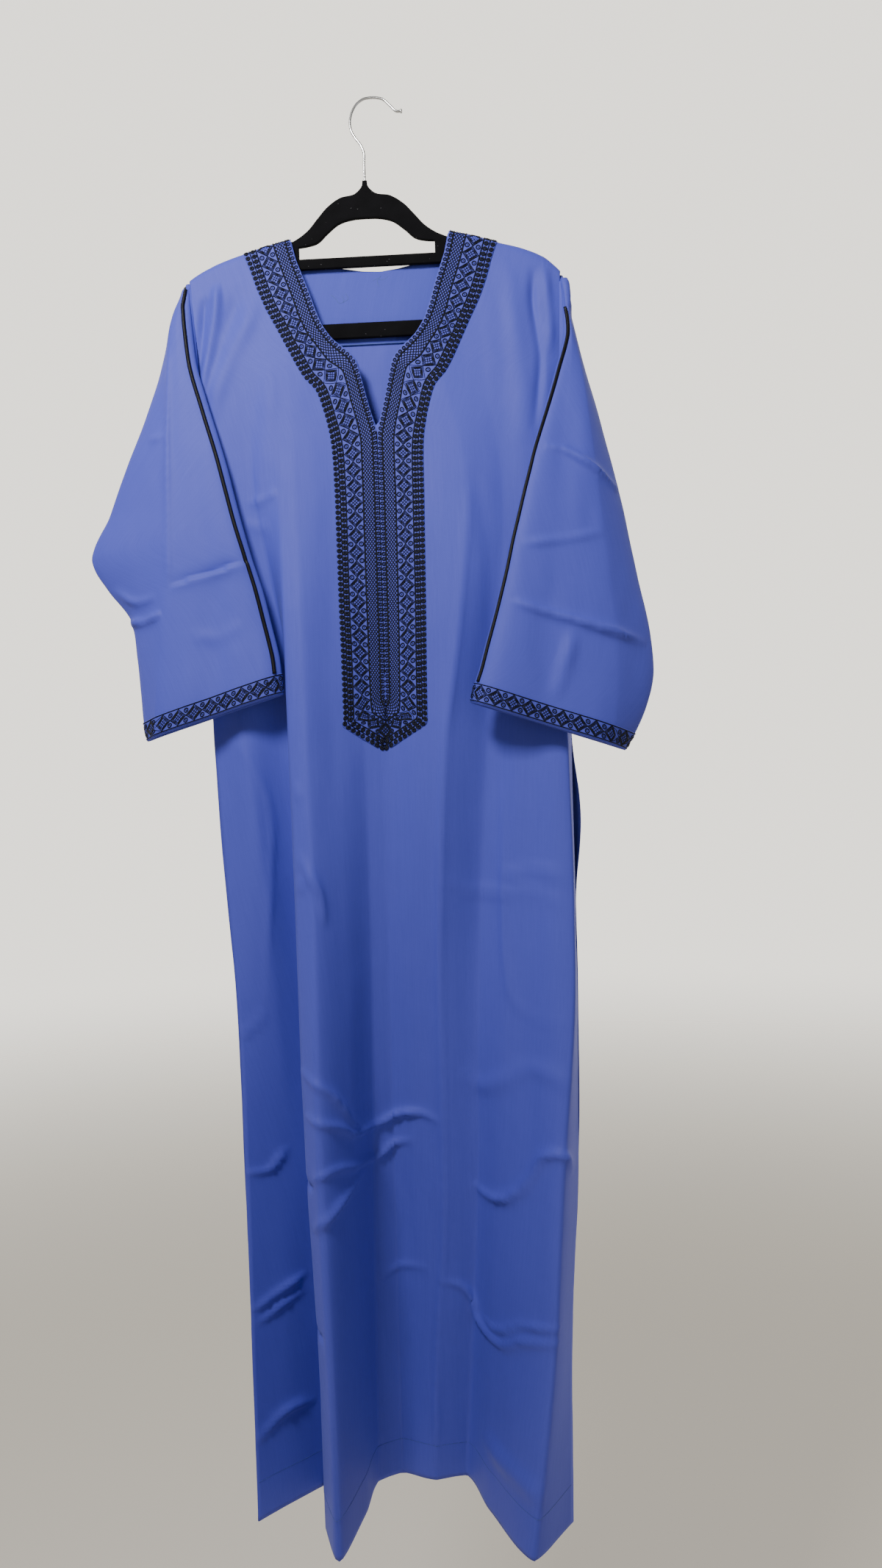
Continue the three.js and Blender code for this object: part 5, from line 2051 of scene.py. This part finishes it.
@dataclass
class NeckBand:
    """The embroidered strip along the neckline and down the slit to a point.

    Attributes:
        diamond_pitch: Distance between diamonds.
        bobble_pitch: Distance between bobbles in the outer rows.
        last_diamonds: Distances of the lowest diamonds from the point, along their lane.
        middle: Lane of the diamonds.
        rows: Rows of points along one half.
        margin: How far the strip reaches beyond its last line, in lanes.
    """

    wardrobe: Wardrobe
    front: FrontPanel
    diamond_pitch: float = 18.4
    bobble_pitch: float = 6.1
    last_diamonds: tuple[float, ...] = (0.0, 14.5, 28.0, 42.5)
    middle: float = 2.5
    rows: int = 620
    margin: float = 0.15

    def ground(self, side: int) -> Ground:
        """The cloth under one half of the band.

        Args:
            side: -1 for the wearer's right and 1 for the left.

        Returns:
            The ground.
        """
        table = np.array(NECK_LANES, float)
        knots = distances(table[:, 2])
        walk = np.linspace(0, knots[-1], self.rows)
        lines = read_table(knots, table.reshape(len(table), -1), walk, 0.5).reshape(self.rows, -1, 2)
        lines[..., 0] = np.maximum(lines[..., 0], 0)
        edge = lines[:, -1] + (lines[:, -1] - lines[:, -2]) * self.margin
        lines = np.concatenate([lines, edge[:, None]], axis=1)
        lanes = np.array([0, 1, 2, 3, 4, 4 + self.margin])
        fine = np.concatenate([np.linspace(0, 4, 33), [4 + self.margin]])
        plane = np.stack([[np.interp(fine, lanes, row[:, k]) for row in lines] for k in range(2)], -1)
        z = plane[..., 1]
        x = column(CENTRE_LINE, np.clip(z, BAND_POINT, BAND_TOP), 0).reshape(z.shape) + side * plane[..., 0]
        points = self.front.outer_face(x.ravel(), z.ravel()).reshape(*z.shape, 3)
        return Ground.over(points, fine, flip=side < 0)

    def build(self) -> None:
        """Makes the strip and its stitches."""
        for side, name in ((-1, "right"), (1, "left")):
            ground = self.ground(side)
            sheet = Sheet.over(ground.points[::4, ::2], flip=side < 0)
            strip = add_mesh(f"neck_strip_{name}", *sheet.shell(0.6, 0.15))
            dress(strip, self.wardrobe.cloth, ["neck_band"])
            self.stitch(Stitcher(ground, 0.6), f"neck_embroidery_{name}")

    def stitch(self, needle: Stitcher, name: str) -> None:
        """Embroiders one half.

        Args:
            needle: The stitcher.
            name: The piece's name.
        """
        ground, middle = needle.ground, self.middle
        needle.bobbles(ground.even_rows(0.5, 5.6), 0.5, 2.5, 8, 0.62)
        needle.line(1.0, 2.0, 0.8)
        needle.line(2.0, 2.0, 0.8)
        needle.lattice(1.0, 2.0, 4.5, 18, 1.25)
        needle.line(3.0, 1.7, 0.8)
        needle.line(3.5, 1.5, 0.7)
        last = ground.walk(middle)[-1] - np.array(self.last_diamonds)
        above = np.arange(last[-1] - self.diamond_pitch, 0, -self.diamond_pitch)
        way = np.sort(np.concatenate([last, above]))
        centres = ground.rows_at(middle, way)
        size = np.where(way > last[-1] + 1, 0.82, 1.0)
        needle.diamonds(centres[:-1], middle, (8.5, 8.7), size[:-1])
        needle.zigzags(centres, middle, 0.46)
        gaps = (centres[1:] + centres[:-1]) / 2
        across = ground.metric(gaps, np.full_like(gaps, middle))[1]
        for sign in (1, -1):
            offset = float(np.median(sign * 5.9 / across))
            needle.bobbles(gaps, middle + offset, 3.0, 12, 0.5, (size[1:] + size[:-1]) / 2)
        if name.endswith("right"):
            self.point_diamond(needle)
            slit = ground.points[:, 0, 2] > -377
            needle.line(0.04, 1.2, 0.7, start=float(ground.walk(0.04)[slit][-1]), end=30.0)
        for lane in (3.25, 3.77):
            needle.bobbles(ground.even_rows(lane, self.bobble_pitch), lane, 2.95, 10, 0.85)
        dress(add_mesh(name, *needle.mesh()), self.wardrobe.thread, ["neck_band"])

    def point_diamond(self, needle: Stitcher) -> None:
        """Embroiders the diamond that stands on the band's point.

        Args:
            needle: The stitcher.
        """
        xs = np.linspace(-22, 14, 19)
        x, z = np.meshgrid(xs, np.linspace(-686, -724, 20))
        points = self.front.outer_face(x.ravel(), z.ravel()).reshape(*x.shape, 3)
        kept = needle.ground
        needle.ground = Ground.over(points, xs, flip=False)
        needle.diamonds(np.array([9.8]), column(CENTRE_LINE, np.array([-705.0]))[0], (8.4, 8.4))
        needle.ground = kept


@dataclass
class CuffBand:
    """The embroidered strip round a cuff."""

    wardrobe: Wardrobe
    sleeve: Sleeve
    pitch: float = 18.3
    start: float = 13.0
    end: float = 13.94
    middle: float = 0.49

    def build(self) -> None:
        """Makes the strip and its stitches."""
        side, name = self.sleeve.side, self.sleeve.name
        rows, columns = 9, self.sleeve.columns
        sheet = self.sleeve.stretch(self.start, self.end, rows).moved(OUTER)
        strip = add_mesh(f"cuff_strip_{name}", *sheet.shell(0.6, 0.15))
        dress(strip, self.wardrobe.cloth, [f"cuff_band_{name}"])
        grid = sheet.points.reshape(rows, columns, 3).transpose(1, 0, 2)
        fine = np.linspace(0, columns - 1, columns * 3)
        whole = fine.astype(int).clip(0, columns - 2)
        share = (fine - whole)[:, None, None]
        grid = grid[whole] * (1 - share) + grid[whole + 1] * share
        needle = Stitcher(Ground.over(grid, np.linspace(0, 1, rows), flip=side < 0), 0.6)
        needle.line(0.05, 1.3, 0.75)
        needle.line(0.93, 1.3, 0.75)
        centres = needle.ground.even_rows(self.middle, self.pitch, 0.3)
        needle.diamonds(centres, self.middle, (8.3, 8.3))
        needle.zigzags(centres, self.middle, 0.40)
        for lane in (0.24, 0.74):
            needle.bobbles((centres[1:] + centres[:-1]) / 2, lane, 2.8, 12, 0.5)
        piece = add_mesh(f"cuff_embroidery_{name}", *needle.mesh())
        dress(piece, self.wardrobe.thread, [f"cuff_band_{name}"])


# ---- Hanger ----

# Outline of the hanger as (distance from its middle, height): back and tip, under the arch, under an arm.
ARCH_BACK = ((2.6, -91), (3.2, -96.5), (6.4, -101), (10.5, -104.6), (28, -108.8), (43, -118.6), (54, -130.5),
             (66, -144), (78, -152.5), (90, -158), (135, -170.5), (178, -186.5), (192, -196), (198, -206),
             (197.5, -226), (190, -247), (174, -263), (155, -266))
ARCH_UNDER = ((0, -133), (14, -133.6), (30, -137.8), (43, -147.6), (55, -158), (66, -161), (76, -162))
ARM_UNDER = ((88, -166), (135, -180), (172, -195), (183, -206), (184, -224), (178, -240), (164, -248.5),
             (150, -249))
TIE_BAR = (-175.2, -186.8)  # top and bottom
TIE_HALF, POST = 76.0, 12.0
SHARP = math.radians(50)  # edges that turn more than this stay sharp
HOOK_LINE = ((35, -15.4), (30.4, -15.4), (24, -9.4), (14.4, -0.6), (6, 1.4), (0, 1.5), (-6, 0.6), (-14, -4.6),
             (-19.6, -13.4), (-22.3, -25), (-21, -34.6), (-16.6, -42.8), (-10.6, -51.6), (-8.2, -58),
             (-8, -74), (-8, -92))


@dataclass
class Hanger:
    """A slim moulded hanger under black flock, with a plated hook."""

    wardrobe: Wardrobe
    middle: float = -8.0
    thick: float = 5.4
    edge: float = 1.6
    wire: float = 1.5
    knob: float = 2.3

    def outlines(self) -> list[Array]:
        """The outer outline and its two openings.

        Returns:
            Closed lines of (x, z).
        """
        back = smooth_path(ARCH_BACK, 2.5)
        under = np.concatenate([smooth_path(ARCH_UNDER, 2.5), [(TIE_HALF, TIE_BAR[0])]])
        arm = np.concatenate([[(TIE_HALF + POST, TIE_BAR[1])], smooth_path(ARM_UNDER, 2.5)])
        halves = (back[::-1], under[::-1], arm[::-1])
        return [np.concatenate([half * (-1, 1), half[::-1]]) + (self.middle, 0) for half in halves]

    @staticmethod
    def refine(*steps: Callable[[], Any]) -> None:
        """Works on the whole mesh of the active object, then shades it smooth up to its sharp edges.

        Args:
            *steps: What to do in edit mode.
        """
        bpy.ops.object.transform_apply(location=True, rotation=True, scale=True)
        bpy.ops.object.mode_set(mode="EDIT")
        bpy.ops.mesh.select_all(action="SELECT")
        for step in steps:
            step()
        bpy.ops.object.mode_set(mode="OBJECT")
        bpy.ops.object.shade_smooth_by_angle(angle=SHARP)

    def curve(self, name: str, lines: Sequence[Array], closed: bool, **settings: Any) -> bpy.types.Object:
        """Draws a curve in its own plane and makes it a mesh standing upright.

        Args:
            name: The object's name.
            lines: Its lines of (x, z).
            closed: Closes the lines.
            **settings: The curve's own settings.

        Returns:
            The object.
        """
        data = bpy.data.curves.new(name, "CURVE")
        for key, value in settings.items():
            setattr(data, key, value)
        for line in lines:
            spline = data.splines.new("POLY")
            spline.points.add(len(line) - 1)
            for point, (x, z) in zip(spline.points, line):
                point.co = (x * MM, z * MM, 0, 1)
            spline.use_cyclic_u = closed
        drawn = bpy.data.objects.new(name, data)
        bpy.context.collection.objects.link(drawn)
        bpy.ops.object.select_all(action="DESELECT")
        drawn.select_set(True)
        bpy.context.view_layer.objects.active = drawn
        bpy.ops.object.convert(target="MESH")
        made = bpy.context.active_object
        made.rotation_euler = (math.pi / 2, 0, 0)
        self.refine(lambda: bpy.ops.mesh.remove_doubles(threshold=1e-6),
                    lambda: bpy.ops.mesh.normals_make_consistent(inside=False))
        return made

    def build(self) -> None:
        """Makes the hanger and its hook."""
        body = self.curve("hanger", self.outlines(), True, dimensions="2D", fill_mode="BOTH",
                          extrude=(self.thick / 2 - self.edge) * MM, bevel_depth=self.edge * MM,
                          bevel_resolution=3, offset=-self.edge * MM)
        dress(body, self.wardrobe.flock, ["hanger_body"])
        hook = self.curve("hook", [smooth_path(HOOK_LINE, 1.6)], False, dimensions="3D", use_fill_caps=True,
                          bevel_depth=self.wire * MM, bevel_resolution=5)
        x, z = HOOK_LINE[0]
        bpy.ops.object.select_all(action="DESELECT")
        bpy.ops.mesh.primitive_cylinder_add(vertices=24, radius=self.knob * MM, depth=2.6 * MM,
                                            location=((x + 0.4) * MM, 0, z * MM),
                                            rotation=(0, math.pi / 2, 0))
        self.refine(lambda: bpy.ops.mesh.bevel(offset=0.9 * MM, segments=3, affect="EDGES"))
        hook.select_set(True)
        bpy.context.view_layer.objects.active = hook
        bpy.ops.object.join()
        dress(hook, self.wardrobe.plate, ["hanger_hook"])


# ---- Studio ----


@dataclass(frozen=True)
class Studio:
    """Camera, floor and lights.

    Attributes:
        eye: Place of the camera.
        yaw: How far it is turned to the wearer's right, in degrees.
        roll: Its roll.
        lens: Focal length for a picture whose long side is 36 mm.
        floor: Height of the floor.
        fade: Distances over which the floor fades, in metres.
        air: Light of the surroundings in front of the piece and behind it.
        aim: Where the lamps point.
    """

    eye: tuple[float, float, float] = (114.4, -1308.0, -766.1)
    yaw: float = 2.6
    roll: float = 1.9
    lens: float = 27.0
    floor: float = -2150.0
    fade: Pair = (2.6, 8.0)
    air: Pair = (0.2, 1.85)
    aim: tuple[float, float, float] = (0, 0, -800)

    def camera(self) -> None:
        """Adds the camera."""
        yaw, roll = math.radians(self.yaw), math.radians(self.roll)
        ahead = Vector((-math.sin(yaw), math.cos(yaw), 0))
        right = Vector((math.cos(yaw), math.sin(yaw), 0))
        up = right.cross(ahead)
        turned_right = right * math.cos(roll) - up * math.sin(roll)
        turned_up = right * math.sin(roll) + up * math.cos(roll)
        data = bpy.data.cameras.new("camera")
        data.sensor_width, data.lens = 36, self.lens
        data.clip_start, data.clip_end = 0.02, 60
        camera = bpy.data.objects.new("camera", data)
        basis = Matrix((turned_right, turned_up, -ahead)).transposed().to_4x4()
        camera.matrix_world = Matrix.Translation(Vector(self.eye) * MM) @ basis
        bpy.context.collection.objects.link(camera)
        bpy.context.scene.camera = camera

    def lamp(self, name: str, place: Sequence[float], size: float, power: float,
             tint: tuple[float, float, float]) -> None:
        """Adds a soft lamp.

        Args:
            name: Its name.
            place: Where it stands.
            size: Side of its square.
            power: Watts.
            tint: Its colour.
        """
        data = bpy.data.lights.new(name, "AREA")
        data.size, data.energy, data.color = size * MM, power, tint
        lamp = bpy.data.objects.new(name, data)
        lamp.location = Vector(place) * MM
        lamp.rotation_euler = (Vector(self.aim) - Vector(place)).to_track_quat("-Z", "Y").to_euler()
        bpy.context.collection.objects.link(lamp)

    def ground(self) -> None:
        """Adds the pale floor, which fades into the background far behind the piece."""
        bpy.ops.mesh.primitive_plane_add(size=30, location=(0, 0, self.floor * MM))
        floor = bpy.context.active_object
        floor.name = "studio_floor"
        bpy.ops.object.transform_apply(location=True)
        material, n, shader = open_material("Pale floor")
        place = n.add("TexCoord").outputs["Object"]
        far = n.add("VectorMath", {0: place}, operation="LENGTH").outputs["Value"]
        n.wire(shader, {"Alpha": n.span(far, 1.0, 0.0, self.fade, "SMOOTHSTEP"), "Roughness": 0.9,
                        "Base Color": (0.66, 0.63, 0.58, 1)})
        floor.data.materials.append(material)

    def surroundings(self) -> None:
        """Lights the air: brighter behind the piece than in front of it."""
        world = bpy.data.worlds.new("Pale studio")
        bpy.context.scene.world = world
        world.use_nodes = True
        n = Nodes(world.node_tree)
        ahead = n.add("SeparateXYZ", {0: n.add("TexCoord").outputs["Generated"]}).outputs[1]
        strength = n.span(ahead, *self.air, (-0.1, 0.6), "SMOOTHSTEP")
        n.wire(n.tree.nodes["Background"], {"Strength": strength, "Color": (1.0, 0.957, 0.87, 1)})

    def build(self) -> None:
        """Adds everything."""
        self.camera()
        self.ground()
        self.surroundings()
        self.lamp("key", (-440, -1000, 320), 320, 24.5, (1.0, 0.98, 0.95))
        self.lamp("fill", (1300, -1500, -600), 1200, 3, (0.92, 0.95, 1.0))


def main() -> None:
    """Builds the thobe, its hanger and the studio."""
    logging.basicConfig(level=logging.INFO, format="%(message)s")
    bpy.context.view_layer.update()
    bpy.ops.object.select_all(action="DESELECT")
    Studio().build()
    wardrobe = Wardrobe.make()
    front, back = FrontPanel(wardrobe), BackPanel(wardrobe)
    front.build()
    front.hem_stitches()
    back.build()
    BackFacing(wardrobe, back).build()
    NeckBand(wardrobe, front).build()
    for sleeve in (Sleeve(wardrobe, "right", -1, RIGHT_STATIONS, 6.5, RIGHT_SLEEVE_CREASES, 31),
                   Sleeve(wardrobe, "left", 1, LEFT_STATIONS, 3.0, LEFT_SLEEVE_CREASES, 41)):
        sleeve.build()
        CuffBand(wardrobe, sleeve).build()
        Cord(wardrobe, sleeve).build()
    Hanger(wardrobe).build()


if __name__ == "__main__":
    main()
